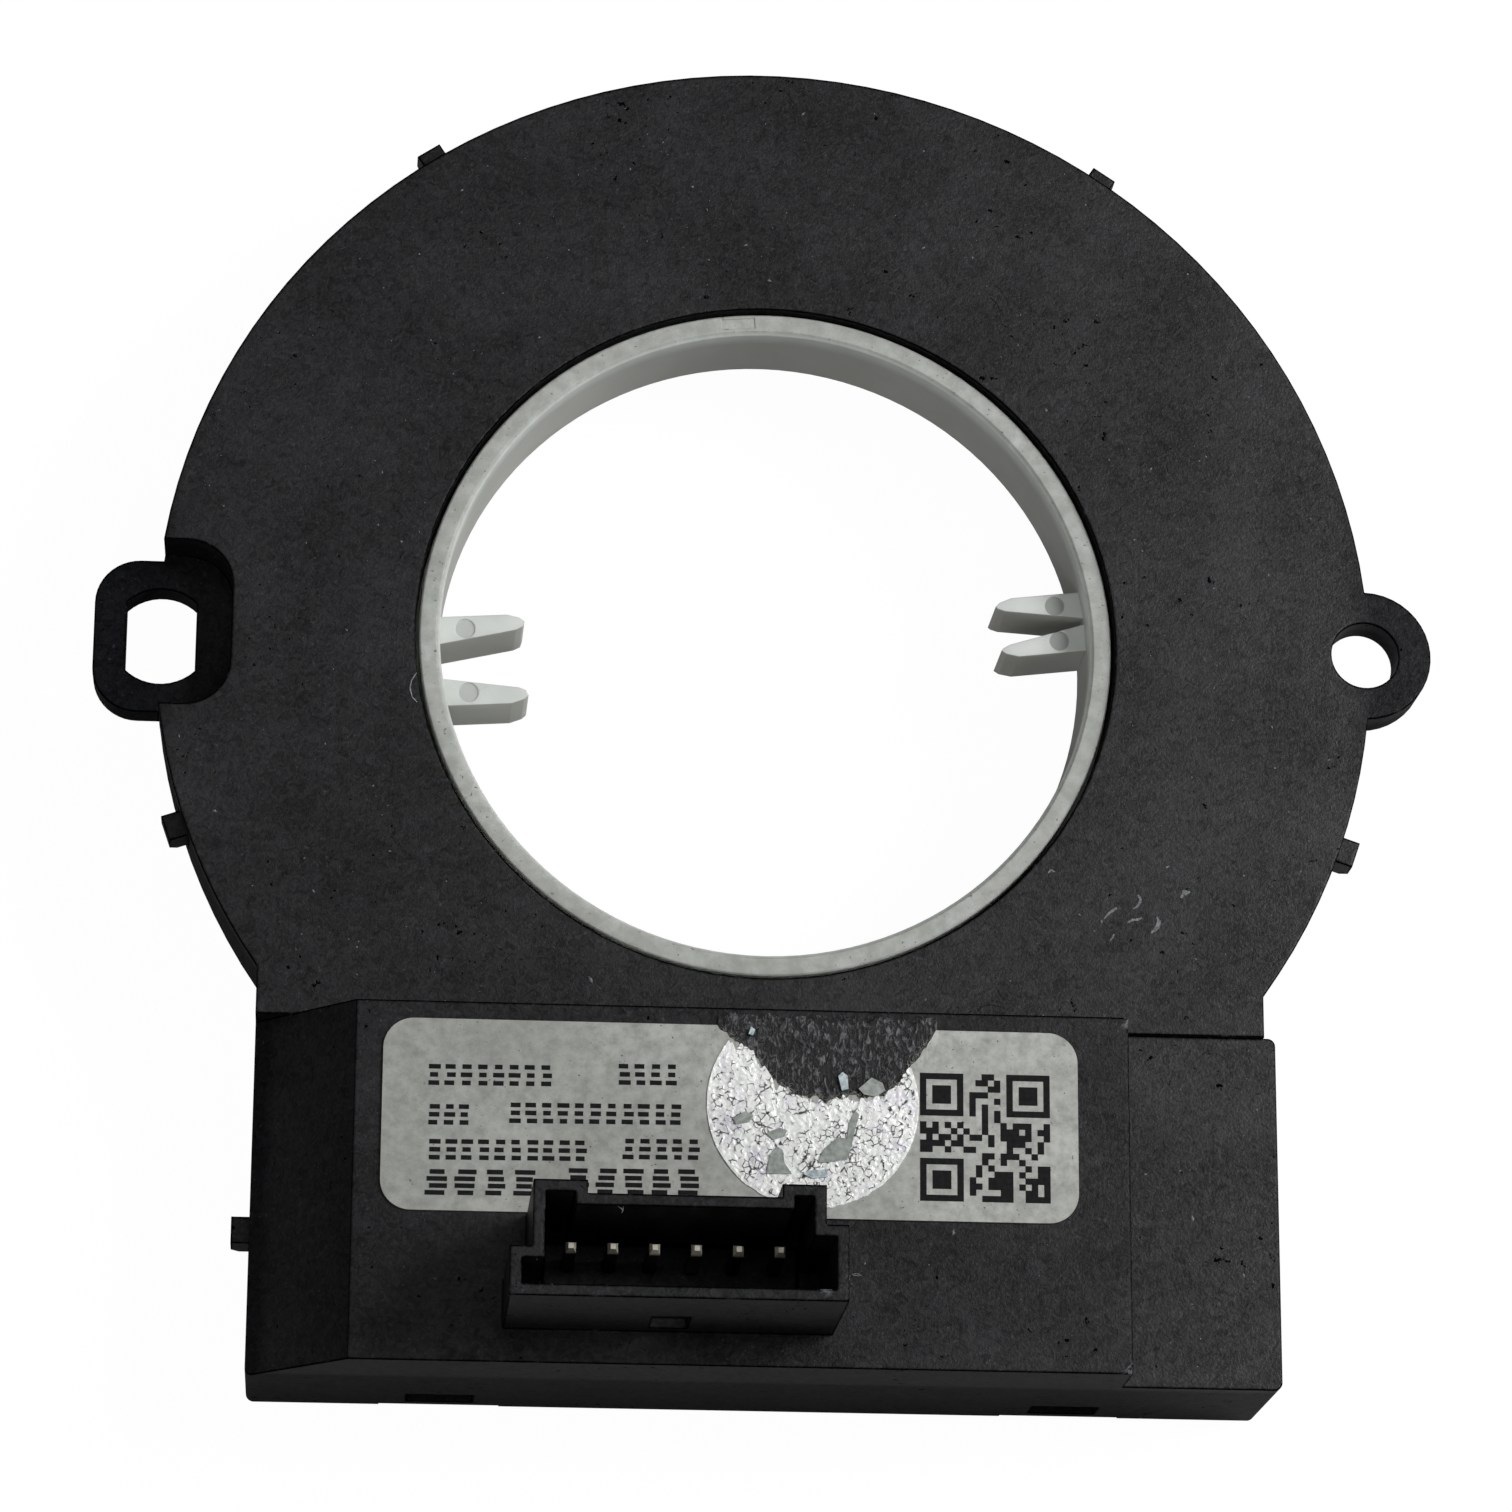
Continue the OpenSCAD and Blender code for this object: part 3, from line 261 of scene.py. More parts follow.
def solder_mask():
    """FR-4 under green solder mask: copper tracks 0.3 mm wide show as paler lines below a glossy film."""
    material, tree, place, out = blank("fr4_green_solder_mask")
    cells = add(tree, "TexVoronoi", {"Vector": place, "Scale": 1 / (2.4 * mm)}, feature="DISTANCE_TO_EDGE",
                distance="CHEBYCHEV")
    track = add(tree, "MapRange", {"Value": cells.outputs["Distance"], "From Min": 0.05, "From Max": 0.08,
                                   "To Min": 1.0, "To Max": 0.0})
    tone = add(tree, "Mix", {0: track.outputs[0], 6: colour("#14502c"), 7: colour("#2a7443")},
               data_type="RGBA")
    bumps = add(tree, "Bump", {"Height": track.outputs[0], "Strength": 0.5, "Distance": 0.03 * mm})
    surface = add(tree, "BsdfPrincipled", {"Base Color": tone.outputs[2], "Roughness": 0.28,
                                           "Normal": bumps.outputs[0]})
    tree.links.new(surface.outputs[0], out.inputs["Surface"])
    return material


dress(solder_mask(), "circuit_board")
dress(grained("black_epoxy_package", "#141416", "#202124", 0.2, 0.55), "sensor_chip_1", "sensor_chip_2",
      "microcontroller", "bus_transceiver", "voltage_regulator")
dress(grained("drawn_aluminium_can", "#b4b7ba", "#c6c8ca", 0.5, 0.3, 1.0), "bulk_capacitor")
dress(grained("nickel_plated_lid", "#a9aaa8", "#bcbcb8", 0.6, 0.25, 1.0), "crystal")
dress(grained("wound_ferrite_choke", "#2c2a28", "#403a34", 0.25, 0.6), "choke_coil")
dress(grained("fired_ceramic_chip", "#8a6c48", "#a3835c", 0.2, 0.5), "chip_capacitor_1", "chip_capacitor_2",
      "chip_capacitor_3", "chip_capacitor_4")
dress(grained("glazed_chip_resistor", "#1a1b1d", "#2a2b2e", 0.2, 0.3), "chip_resistor_1", "chip_resistor_2",
      "chip_resistor_3", "chip_resistor_4")

# Pin carrier and terminals
# Six square brass wires, tin-gold flashed and pointed, are pressed through a black moulded carrier.
# Only their tips catch the light, because the socket round them is deep and dark. Their colour carries
# a painted highlight at the tip and painted shade below it.
dress(moulded_nylon("black_pbt_carrier", "#050506", "#0a0a0b", "#1a1a1b", 0.3)[0], "pin_carrier")


def flashed_pin():
    """Brass under a flash at the contact end, its tip painted near white as a painted highlight; from 1 mm
    below the tip it is painted nearly black as shade in the deep socket.
    """
    material, tree, place, out = blank("flashed_brass_pin")
    height = add(tree, "SeparateXYZ", {"Vector": place})
    stain = add(tree, "TexNoise", {"Vector": place, "Scale": 1 / (0.4 * mm), "Detail": 3.0})
    level = add(tree, "Math", {0: stain.outputs["Fac"], 1: 0.6 * mm, 2: height.outputs["Z"]},
                operation="MULTIPLY_ADD")
    # Painted highlight on the tip and painted shade below it.
    painted_tip_glint = add(tree, "MapRange", {"Value": level.outputs[0], "From Min": 16.2 * mm, "From Max": 16.7 * mm})
    tone = add(tree, "Mix", {0: painted_tip_glint.outputs[0], 6: colour("#1c1812"), 7: colour("#fff8e6")},
               data_type="RGBA")
    rough = add(tree, "MapRange", {"Value": painted_tip_glint.outputs[0], "To Min": 0.6, "To Max": 0.4})
    surface = add(tree, "BsdfPrincipled", {"Base Color": tone.outputs[2], "Roughness": rough.outputs[0],
                                           "Metallic": 0.5})
    tree.links.new(surface.outputs[0], out.inputs["Surface"])
    return material


dress(flashed_pin(), "terminal_pin_1", "terminal_pin_2", "terminal_pin_3", "terminal_pin_4", "terminal_pin_5",
      "terminal_pin_6")

# Upper cover
# The main moulding makes the ring's face, the ears, the connector block and the socket in one piece. It
# is the same glass-filled nylon, cleaner on top, with edges painted dark as shade and pale in places,
# partly rubbed wear and partly a painted edge highlight, and a few scuffs.
cover_skin, cover_tree, cover_place, cover_surface = moulded_nylon(
    "glass_filled_nylon_cover", "#08090a", "#18191c", "#414346", 0.6)


def sheen_shade_and_flow(tree, place, surface):
    """Less sheen on upright walls, on the ears and below about 6 mm, which is painted shade on the sides and
    in the recesses, and a little less on the plateau. On the ring it varies by a few parts in a hundred in
    flow marks round the bore."""
    height = add(tree, "SeparateXYZ", {"Vector": place})
    outward = add(tree, "Math", {0: height.outputs["X"]}, operation="ABSOLUTE")
    ears = add(tree, "MapRange", {"Value": outward.outputs[0], "From Min": 37.5 * mm, "From Max": 39.5 * mm,
                                  "To Min": 1.0, "To Max": 0.4})
    facing = add(tree, "NewGeometry")
    way = add(tree, "SeparateXYZ", {"Vector": facing.outputs["Normal"]})
    upright = add(tree, "MapRange", {"Value": way.outputs["Z"], "From Min": 0.75, "From Max": 0.98,
                                    "To Min": 0.42})
    flat = add(tree, "VectorMath", {0: place, 1: (1.0, 1.0, 0.0)}, operation="MULTIPLY")
    radius = add(tree, "VectorMath", {0: flat.outputs[0]}, operation="LENGTH")
    drift = add(tree, "TexNoise", {"Vector": place, "Scale": 1 / (11 * mm), "Detail": 3.0})
    bent = add(tree, "Math", {0: drift.outputs["Fac"], 1: 14 * mm, 2: radius.outputs["Value"]},
               operation="MULTIPLY_ADD")
    turns = add(tree, "Math", {0: bent.outputs[0], 1: 2 * math.pi / (5.5 * mm)}, operation="MULTIPLY")
    wave = add(tree, "Math", {0: turns.outputs[0]}, operation="SINE")
    flow = add(tree, "Math", {0: wave.outputs[0], 1: 0.04, 2: 1.0}, operation="MULTIPLY_ADD")
    low = add(tree, "MapRange", {"Value": height.outputs["Z"], "From Min": 5.4 * mm, "From Max": 6.2 * mm,
                                 "To Min": 0.35})
    high = add(tree, "MapRange", {"Value": height.outputs["Z"], "From Min": 8 * mm, "From Max": 11 * mm,
                                  "To Min": 1.0, "To Max": 0.82})
    level = surface.inputs["Specular IOR Level"]
    # Painted shade: the sheen is lowered on upright walls, on the ears and below about 6 mm.
    for share in (low, high, ears, upright, flow):
        less = add(tree, "Math", {0: level.links[0].from_socket, 1: share.outputs[0]}, operation="MULTIPLY")
        tree.links.new(less.outputs[0], level)


def scuffs(tree, place, surface, spots, pale):
    """Whitened knocks at given places, each a ragged patch inside its own radius in millimetres."""
    reach = None
    for x, y, z, radius in spots:
        far = add(tree, "VectorMath", {0: place, 1: (x * mm, y * mm, z * mm)}, operation="DISTANCE")
        close = add(tree, "MapRange", {"Value": far.outputs["Value"], "From Min": 1.5 * radius * mm,
                                       "From Max": 0.5 * radius * mm})
        if reach is None:
            reach = close
        else:
            reach = add(tree, "Math", {0: reach.outputs[0], 1: close.outputs[0]}, operation="MAXIMUM")
    ragged = add(tree, "TexNoise", {"Vector": place, "Scale": 1 / (0.9 * mm), "Detail": 3.0, "Roughness": 0.6,
                                    "Distortion": 0.8})
    centred = add(tree, "Math", {0: ragged.outputs["Fac"], 1: 0.5}, operation="SUBTRACT")
    off_ridge = add(tree, "Math", {0: centred.outputs[0]}, operation="ABSOLUTE")
    ridge = add(tree, "MapRange", {"Value": off_ridge.outputs[0], "From Min": 0.05, "From Max": 0.0})
    inside = add(tree, "Math", {0: reach.outputs[0], 1: ridge.outputs[0]}, operation="MULTIPLY")
    blend_over(tree, surface, inside.outputs[0], pale)


# The cover's levels stand at these heights, in millimetres.
low_platform, ring_face, plateau, socket_rim = 6.65, 7.0, 11.2, 21.6
scuffs(cover_tree, cover_place, cover_surface, [
    (22.4, -25.8, plateau, 0.5), (22.4, -48.0, plateau, 0.5), (2.6, -45.3, socket_rim, 0.4),
    (-13.6, -45.3, socket_rim, 0.3)], "#63666a")
sheen_shade_and_flow(cover_tree, cover_place, cover_surface)
dress(cover_skin, "upper_cover")

# Label
# A light grey polyester label is stuck on the block's plateau. Its upper middle has been torn away with
# the seal, which leaves a ragged edge. Bars and a block of small squares are printed in dull black ink.
label_left, label_right, label_foot, label_head = -24.0, 19.2, -38.9, -26.8
label_corner, label_top = 1.9, 11.35
torn_x = [-30, -3.45, -3.3, -2.55, -1.0, -0.3, 0.4, 1.85, 3.7, 5.0, 6.85, 8.1, 8.6, 9.3, 10.3, 10.5, 30]
torn_y = [-20, -26.6, -26.9, -27.75, -28.65, -29.6, -30.55, -31.15, -31.55, -31.3, -31.05, -30.2, -29.4,
          -28.6, -27.0, -26.6, -20]


def lattice_noise(x, y, cell, seed):
    """Smooth random heights from 0 to 1: random values on a square lattice, joined by smooth steps."""
    size = 64
    t = np.random.default_rng(seed).random((size, size))
    u, v = np.asarray(x) / cell, np.asarray(y) / cell
    i, j = np.floor(u).astype(int), np.floor(v).astype(int)
    a, b = u - i, v - j
    a, b = a * a * (3 - 2 * a), b * b * (3 - 2 * b)
    low = t[i % size, j % size] * (1 - a) + t[(i + 1) % size, j % size] * a
    high = t[i % size, (j + 1) % size] * (1 - a) + t[(i + 1) % size, (j + 1) % size] * a
    return low * (1 - b) + high * b


def torn_line(x, rough, seed):
    """Height of the tear at x: the drawn line, plus two sizes of raggedness."""
    ragged = lattice_noise(x, 0 * x, 0.35, seed) - 0.5 + 0.5 * (lattice_noise(x, 0 * x, 0.12, seed + 1) - 0.5)
    return np.interp(x, torn_x, torn_y) + rough * ragged


def slab(x, y, top, foot):
    """A closed thin sheet over a grid of points: its upper face, its lower face and the rim between them."""
    n, m = x.shape
    points = np.concatenate([np.stack([x, y, top], -1).reshape(-1, 3),
                             np.stack([x, y, foot], -1).reshape(-1, 3)])
    k = np.arange(n * m).reshape(n, m)
    a, b, c, d = k[:-1, :-1], k[1:, :-1], k[1:, 1:], k[:-1, 1:]
    upper = np.stack([a, b, c, d], -1).reshape(-1, 4)
    lower = upper[:, ::-1] + n * m
    ring = np.concatenate([k[:, 0], k[-1, 1:], k[-2::-1, -1], k[0, -2:0:-1]])
    after = np.roll(ring, -1)
    rim = np.stack([ring + n * m, after + n * m, after, ring], -1)
    return points * mm, np.concatenate([upper, lower, rim])


def piece(name, points, faces, material, smooth, body="housing"):
    """A mesh piece from points in metres and faces, dressed, and riding on a body."""
    mesh = bpy.data.meshes.new(name)
    mesh.from_pydata(points.tolist(), [], faces.tolist())
    mesh.polygons.foreach_set("use_smooth", [smooth] * len(mesh.polygons))
    mesh.materials.append(material)
    mesh.update()
    made = bpy.data.objects.new(name, mesh)
    bpy.context.scene.collection.objects.link(made)
    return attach(made, body)


def rows_between(x, low, high, count):
    """A grid whose columns stand at x and whose rows divide the span from low to high evenly."""
    share = np.linspace(0, 1, count)[None, :]
    return np.repeat(x[:, None], count, 1), low[:, None] * (1 - share) + high[:, None] * share


def label_film():
    """Printed polyester film, satin, mottled by fine dirt in its top coat, with small dark specks, and
    greyer towards its left end, which is painted shade."""
    material, tree, place, out = blank("polyester_label_film")
    mottle = add(tree, "TexNoise", {"Vector": place, "Scale": 1 / (0.9 * mm), "Detail": 6.0,
                                    "Roughness": 0.75})
    share = add(tree, "MapRange", {"Value": mottle.outputs["Fac"], "From Min": 0.3, "From Max": 0.62})
    tone = add(tree, "Mix", {0: share.outputs[0], 6: colour("#8c8e89"), 7: colour("#bbbdb8")},
               data_type="RGBA")
    grime = add(tree, "TexNoise", {"Vector": place, "Scale": 1 / (5 * mm), "Detail": 3.0})
    tinge = add(tree, "MapRange", {"Value": grime.outputs["Fac"], "From Min": 0.4, "From Max": 0.7,
                                   "To Max": 0.35})
    tinged = add(tree, "Mix", {0: tinge.outputs[0], 6: tone.outputs[2], 7: colour("#8b8d88")},
                 data_type="RGBA")
    along = add(tree, "SeparateXYZ", {"Vector": place})
    # Painted shade: the film is greyed towards its left end.
    painted_left_shade = add(tree, "MapRange", {"Value": along.outputs["X"], "From Min": 4 * mm, "From Max": -22 * mm,
                                  "To Max": 0.4})
    shaded_to_left = add(tree, "Mix", {0: painted_left_shade.outputs[0], 6: tinged.outputs[2], 7: colour("#777974")},
                  data_type="RGBA")
    specks = add(tree, "TexNoise", {"Vector": place, "Scale": 1 / (0.22 * mm), "Detail": 1.0})
    spot = add(tree, "MapRange", {"Value": specks.outputs["Fac"], "From Min": 0.74, "From Max": 0.8})
    spotted = add(tree, "Mix", {0: spot.outputs[0], 6: shaded_to_left.outputs[2], 7: colour("#4b4c4a")},
                  data_type="RGBA")
    bumps = add(tree, "Bump", {"Height": mottle.outputs["Fac"], "Strength": 0.2, "Distance": 0.01 * mm})
    surface = add(tree, "BsdfPrincipled", {"Base Color": spotted.outputs[2], "Roughness": 0.5,
                                           "Normal": bumps.outputs[0]})
    tree.links.new(surface.outputs[0], out.inputs["Surface"])
    return material


across = np.sort(np.concatenate([
    label_left + label_corner * (1 - np.cos(np.linspace(0, np.pi / 2, 14))),
    label_right - label_corner * (1 - np.cos(np.linspace(0, np.pi / 2, 14)))[:-1],
    np.linspace(label_left + label_corner, -3.6, 24)[1:], np.linspace(-3.55, 10.6, 220),
    np.linspace(10.7, label_right - label_corner, 12)[:-1]]))
inset = np.clip(label_corner - np.minimum(across - label_left, label_right - across), 0, label_corner)
cut_back = label_corner - np.sqrt(label_corner ** 2 - inset ** 2)
sheet_x, sheet_y = rows_between(across, label_foot + cut_back,
                                np.minimum(label_head - cut_back, torn_line(across, 0.42, 3)), 14)
lift = 0.05 * np.exp(-np.abs(torn_line(sheet_x, 0.42, 3) - sheet_y) / 0.35) * (np.abs(sheet_x - 3.5) < 7.2)
film = label_film()
sheet_top = label_top + lift + 0.012 * lattice_noise(sheet_x, sheet_y, 2.5, 8)
sheet_points, sheet_faces = slab(sheet_x, sheet_y, sheet_top, plateau + 0.6 * lift)
label_sheet = piece("label_sheet", sheet_points, sheet_faces, film, False)
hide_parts("label")


def boxes(x0, y0, x1, y1, z0, z1):
    """Low closed boxes, one for each set of bounds, as points in metres and faces."""
    lift_up = np.broadcast_to(z1, x0.shape)
    low = np.broadcast_to(z0, x0.shape)
    plan = [(x0, y0), (x1, y0), (x1, y1), (x0, y1)]
    points = np.stack([np.stack([px, py, pz], -1) for pz in (low, lift_up) for px, py in plan], 1)
    walls = np.array([[3, 2, 1, 0], [4, 5, 6, 7], [0, 1, 5, 4], [1, 2, 6, 5], [2, 3, 7, 6], [3, 0, 4, 7]])
    faces = (walls[None] + 8 * np.arange(len(x0))[:, None, None]).reshape(-1, 4)
    return points.reshape(-1, 3) * mm, faces


def printed_bars():
    """Bounds of the print: rows of short stacked strokes, and a block of small squares with corner frames."""
    rng = np.random.default_rng(11)
    out = []
    rows = [(-21.2, -13.3, -31.1, 1.55, 8), (-9.45, -5.55, -30.95, 1.55, 4), (-21.15, -18.35, -33.6, 1.5, 3),
            (-16.2, -5.25, -33.45, 1.5, 11), (-21.1, -11.1, -35.8, 1.5, 10), (-9.15, -4.1, -35.65, 1.5, 5),
            (-21.3, -14.1, -38.0, 1.75, 4), (-12.5, -4.0, -37.85, 1.75, 5)]
    for left, right, foot, tall, count in rows:
        pitch = (right - left) / count
        lines = 3 if tall < 1.6 else 4
        for i in range(count):
            for k in range(lines):
                a, b = rng.uniform([0.02, 0.62], [0.2, 0.8])
                y = foot + tall * (k + 0.12) / lines + (left + i * pitch + 21) * 0.012
                out.append((left + (i + a) * pitch, y, left + (i + b) * pitch, y + 0.29))
    cell, code_left, code_foot = 0.386, 9.32, -37.65
    grid = rng.random((21, 21)) < 0.5
    for i, j in ((0, 0), (0, 14), (14, 14)):
        grid[max(i - 1, 0):i + 8, max(j - 1, 0):j + 8] = False
        grid[i:i + 7, j:j + 7] = True
        grid[i + 1:i + 6, j + 1:j + 6] = False
        grid[i + 2:i + 5, j + 2:j + 5] = True
    for i, j in np.argwhere(grid):
        x, y = code_left + i * cell, code_foot + j * cell
        out.append((x, y, x + cell * 1.02, y + cell * 1.02))
    return np.array(out).T


ink = grained("thermal_print_ink", "#0c0c0d", "#17181a", 0.3, 0.6, sheen=0.15)
stroke = printed_bars()
ink_foot, ink_top = 11.3, 11.374
ink_points, ink_faces = boxes(stroke[0], stroke[1], stroke[2], stroke[3], ink_foot, ink_top)
piece("label_print", ink_points, ink_faces, ink, False)

# Seal and its torn patch
# A round silver foil seal was stuck over the label. Somebody tore it off: the lower part is left, crazed
# and crumpled, and the upper part took the label with it down to black adhesive full of paper fibres.
# The torn paper looks dry, fuzzy and greyed, and loose flakes of foil glint on it.
seal_x, seal_y, seal_radius = 2.65, -31.75, 6.6
foil_foot, foil_top = 11.375, 11.385


def crazed_foil():
    """Aluminised film, crushed into facets of 0.4 mm and cracked dark between them. It looks white where
    it scatters light, turns grey in stained spots and mauve in a few, and its cut edge is clean."""
    material, tree, place, out = blank("crazed_silver_foil")
    bent = add(tree, "TexNoise", {"Vector": place, "Scale": 1 / (0.5 * mm), "Detail": 3.0})
    shift = add(tree, "VectorMath", {0: bent.outputs["Color"], 1: (0.25 * mm, 0.25 * mm, 0.25 * mm),
                                     2: place},
                operation="MULTIPLY_ADD")
    cracks = add(tree, "TexVoronoi", {"Vector": shift.outputs[0], "Scale": 1 / (0.4 * mm)},
                 feature="DISTANCE_TO_EDGE")
    facets = add(tree, "TexVoronoi", {"Vector": shift.outputs[0], "Scale": 1 / (0.4 * mm)}, feature="F1")
    line = add(tree, "MapRange", {"Value": cracks.outputs["Distance"], "From Min": 0.03, "From Max": 0.1,
                                  "To Min": 1.0, "To Max": 0.0})
    swirl = add(tree, "TexNoise", {"Vector": place, "Scale": 1 / (0.9 * mm), "Detail": 5.0,
                                   "Distortion": 1.5})
    where = add(tree, "MapRange", {"Value": swirl.outputs["Fac"], "From Min": 0.48, "From Max": 0.56})
    crack = add(tree, "Math", {0: line.outputs[0], 1: where.outputs[0]}, operation="MULTIPLY")
    tint = add(tree, "TexNoise", {"Vector": place, "Scale": 1 / (1.6 * mm), "Detail": 3.0})
    cool = add(tree, "MapRange", {"Value": tint.outputs["Fac"], "From Min": 0.52, "From Max": 0.7})
    silver = add(tree, "Mix", {0: cool.outputs[0], 6: colour("#fbfdfa"), 7: colour("#e6e2ec")},
                 data_type="RGBA")
    stain = add(tree, "TexNoise", {"Vector": place, "Scale": 1 / (1.1 * mm), "Detail": 4.0})
    left = add(tree, "MapRange", {"Value": stain.outputs["Fac"], "From Min": 0.58, "From Max": 0.68,
                                  "To Max": 0.25})
    dulled = add(tree, "Mix", {0: left.outputs[0], 6: silver.outputs[2], 7: colour("#a6ada9")},
                 data_type="RGBA")
    lined = add(tree, "Mix", {0: crack.outputs[0], 6: dulled.outputs[2], 7: colour("#0e1010")},
                data_type="RGBA")
    reach = add(tree, "VectorMath", {0: place, 1: (seal_x * mm, seal_y * mm, 11.4 * mm)},
                operation="DISTANCE")
    cut = add(tree, "MapRange", {"Value": reach.outputs["Value"], "From Min": 6.35 * mm,
                                 "From Max": 6.42 * mm})
    clean = add(tree, "Mix", {0: cut.outputs[0], 6: lined.outputs[2], 7: colour("#f6f8f6")}, data_type="RGBA")
    height = add(tree, "Math", {0: facets.outputs["Color"], 1: 0.8, 2: swirl.outputs["Fac"]},
                 operation="MULTIPLY_ADD")
    bumps = add(tree, "Bump", {"Height": height.outputs[0], "Strength": 1.0, "Distance": 0.08 * mm})
    surface = add(tree, "BsdfPrincipled", {"Base Color": clean.outputs[2], "Roughness": 0.36,
                                           "Metallic": 0.08, "Specular IOR Level": 1.0,
                                           "Normal": bumps.outputs[0]})
    tree.links.new(surface.outputs[0], out.inputs["Surface"])
    return material


foil_x = seal_x - seal_radius * 0.999 * np.cos(np.linspace(0.03, np.pi - 0.03, 210))
bow = np.sqrt(seal_radius ** 2 - (foil_x - seal_x) ** 2)
foil_high = np.minimum(seal_y + bow, torn_line(foil_x, 0.7, 21) - 0.05)
foil_low = seal_y - bow + 0.12 * lattice_noise(foil_x, 0 * foil_x, 0.3, 5)
foil_gx, foil_gy = rows_between(foil_x, foil_low, np.maximum(foil_high, foil_low + 0.02), 110)
crush = (0.045 * np.abs(lattice_noise(foil_gx, foil_gy, 0.9, 31) - 0.5)
         + 0.05 * np.abs(lattice_noise(foil_gx + foil_gy, foil_gy - foil_gx, 0.42, 32) - 0.5)
         + 0.03 * lattice_noise(foil_gx, foil_gy, 0.2, 33))
foil_points, foil_faces = slab(foil_gx, foil_gy, foil_top + crush, foil_foot + 0 * crush)
foil = piece("seal_foil", foil_points, foil_faces, crazed_foil(), False)
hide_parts("tamper_seal")


def adhesive():
    """Black pressure adhesive with torn paper felt in it: dull, in crossed strands about 0.3 mm wide."""
    material, tree, place, out = blank("torn_black_adhesive")
    lay = add(tree, "Mapping", {"Vector": place, "Rotation": (0.0, 0.0, 0.3), "Scale": (1.0, 0.45, 1.0)})
    one = add(tree, "TexNoise", {"Vector": lay.outputs[0], "Scale": 1 / (0.3 * mm), "Detail": 5.0,
                                 "Distortion": 0.8})
    across_lay = add(tree, "Mapping", {"Vector": place, "Rotation": (0.0, 0.0, 1.7),
                                       "Scale": (1.0, 0.45, 1.0)})
    two = add(tree, "TexNoise", {"Vector": across_lay.outputs[0], "Scale": 1 / (0.26 * mm), "Detail": 5.0,
                                 "Distortion": 0.8})
    felt = add(tree, "Math", {0: one.outputs["Fac"], 1: two.outputs["Fac"]}, operation="MAXIMUM")
    share = add(tree, "MapRange", {"Value": felt.outputs[0], "From Min": 0.55, "From Max": 0.7})
    tone = add(tree, "Mix", {0: share.outputs[0], 6: colour("#050506"), 7: colour("#67696b")},
               data_type="RGBA")
    bumps = add(tree, "Bump", {"Height": felt.outputs[0], "Strength": 1.0, "Distance": 0.15 * mm})
    surface = add(tree, "BsdfPrincipled", {"Base Color": tone.outputs[2], "Roughness": 0.7,
                                           "Normal": bumps.outputs[0]})
    tree.links.new(surface.outputs[0], out.inputs["Surface"])
    return material


bare_x = np.linspace(-3.3, 10.4, 190)
bare_high = label_head + 0.75 + 0.35 * (lattice_noise(bare_x, 0 * bare_x, 0.6, 41) - 0.5)
bare_low = np.minimum(torn_line(bare_x, 0.42, 3) - 0.02, bare_high - 0.04)
bare_gx, bare_gy = rows_between(bare_x, bare_low, bare_high, 90)
felt_height = (0.05 + 0.06 * lattice_noise(bare_gx, bare_gy, 0.7, 42)
               + 0.05 * lattice_noise(bare_gx, bare_gy, 0.25, 43)
               + 0.03 * lattice_noise(bare_gx, bare_gy, 0.12, 44))
felt_height *= np.clip((bare_high[:, None] - bare_gy) / 0.25, 0.15, 1)
bare_points, bare_faces = slab(bare_gx, bare_gy, plateau + felt_height, plateau - 0.005 + 0 * felt_height)
felt_skin = adhesive()
piece("torn_adhesive", bare_points, bare_faces, felt_skin, True)


def fibres(starts, turn, length, radius, rise, seed):
    """Short three-sided tubes along curved paths: each turns evenly, rises and comes down again."""
    rng = np.random.default_rng(seed)
    n, steps = len(starts), 6
    t = np.linspace(0, 1, steps)
    bend = rng.normal(0, 1.1, (n, 1))
    heading = turn[:, None] + bend * t
    step = length[:, None] / (steps - 1)
    x = starts[:, :1] + np.cumsum(np.cos(heading) * step, 1)
    y = starts[:, 1:2] + np.cumsum(np.sin(heading) * step, 1)
    z = starts[:, 2:3] + rise[:, None] * np.sin(np.pi * t)[None]
    around = np.array([0.0, 2.0, 4.0]) * np.pi / 3
    thick = radius * (1 - 0.7 * t ** 2)[None, :, None]
    side = thick * np.cos(around)[None, None]
    px = x[:, :, None] - np.sin(heading)[:, :, None] * side
    py = y[:, :, None] + np.cos(heading)[:, :, None] * side
    pz = z[:, :, None] + thick * np.sin(around)[None, None]
    points = np.stack([px, py, pz], -1).reshape(n, -1, 3)
    k = np.arange(steps * 3).reshape(steps, 3)
    nxt = np.roll(k, -1, 1)
    walls = np.stack([k[:-1], nxt[:-1], nxt[1:], k[1:]], -1).reshape(-1, 4)
    offset = (steps * 3 * np.arange(n))[:, None, None]
    quads = (walls[None] + offset).reshape(-1, 4).tolist()
    ends = np.array([[2, 1, 0], [3 * steps - 3, 3 * steps - 2, 3 * steps - 1]])
    caps = (ends[None] + offset).reshape(-1, 3).tolist()
    return points.reshape(-1, 3) * mm, quads + caps


def strands(name, points, faces, material, smooth=True):
    """A piece of many small tubes or scraps on the housing, from faces of any number of corners."""
    mesh = bpy.data.meshes.new(name)
    mesh.from_pydata(points.tolist(), [], faces)
    mesh.polygons.foreach_set("use_smooth", [smooth] * len(mesh.polygons))
    mesh.materials.append(material)
    made = bpy.data.objects.new(name, mesh)
    bpy.context.scene.collection.objects.link(made)
    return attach(made, "housing")


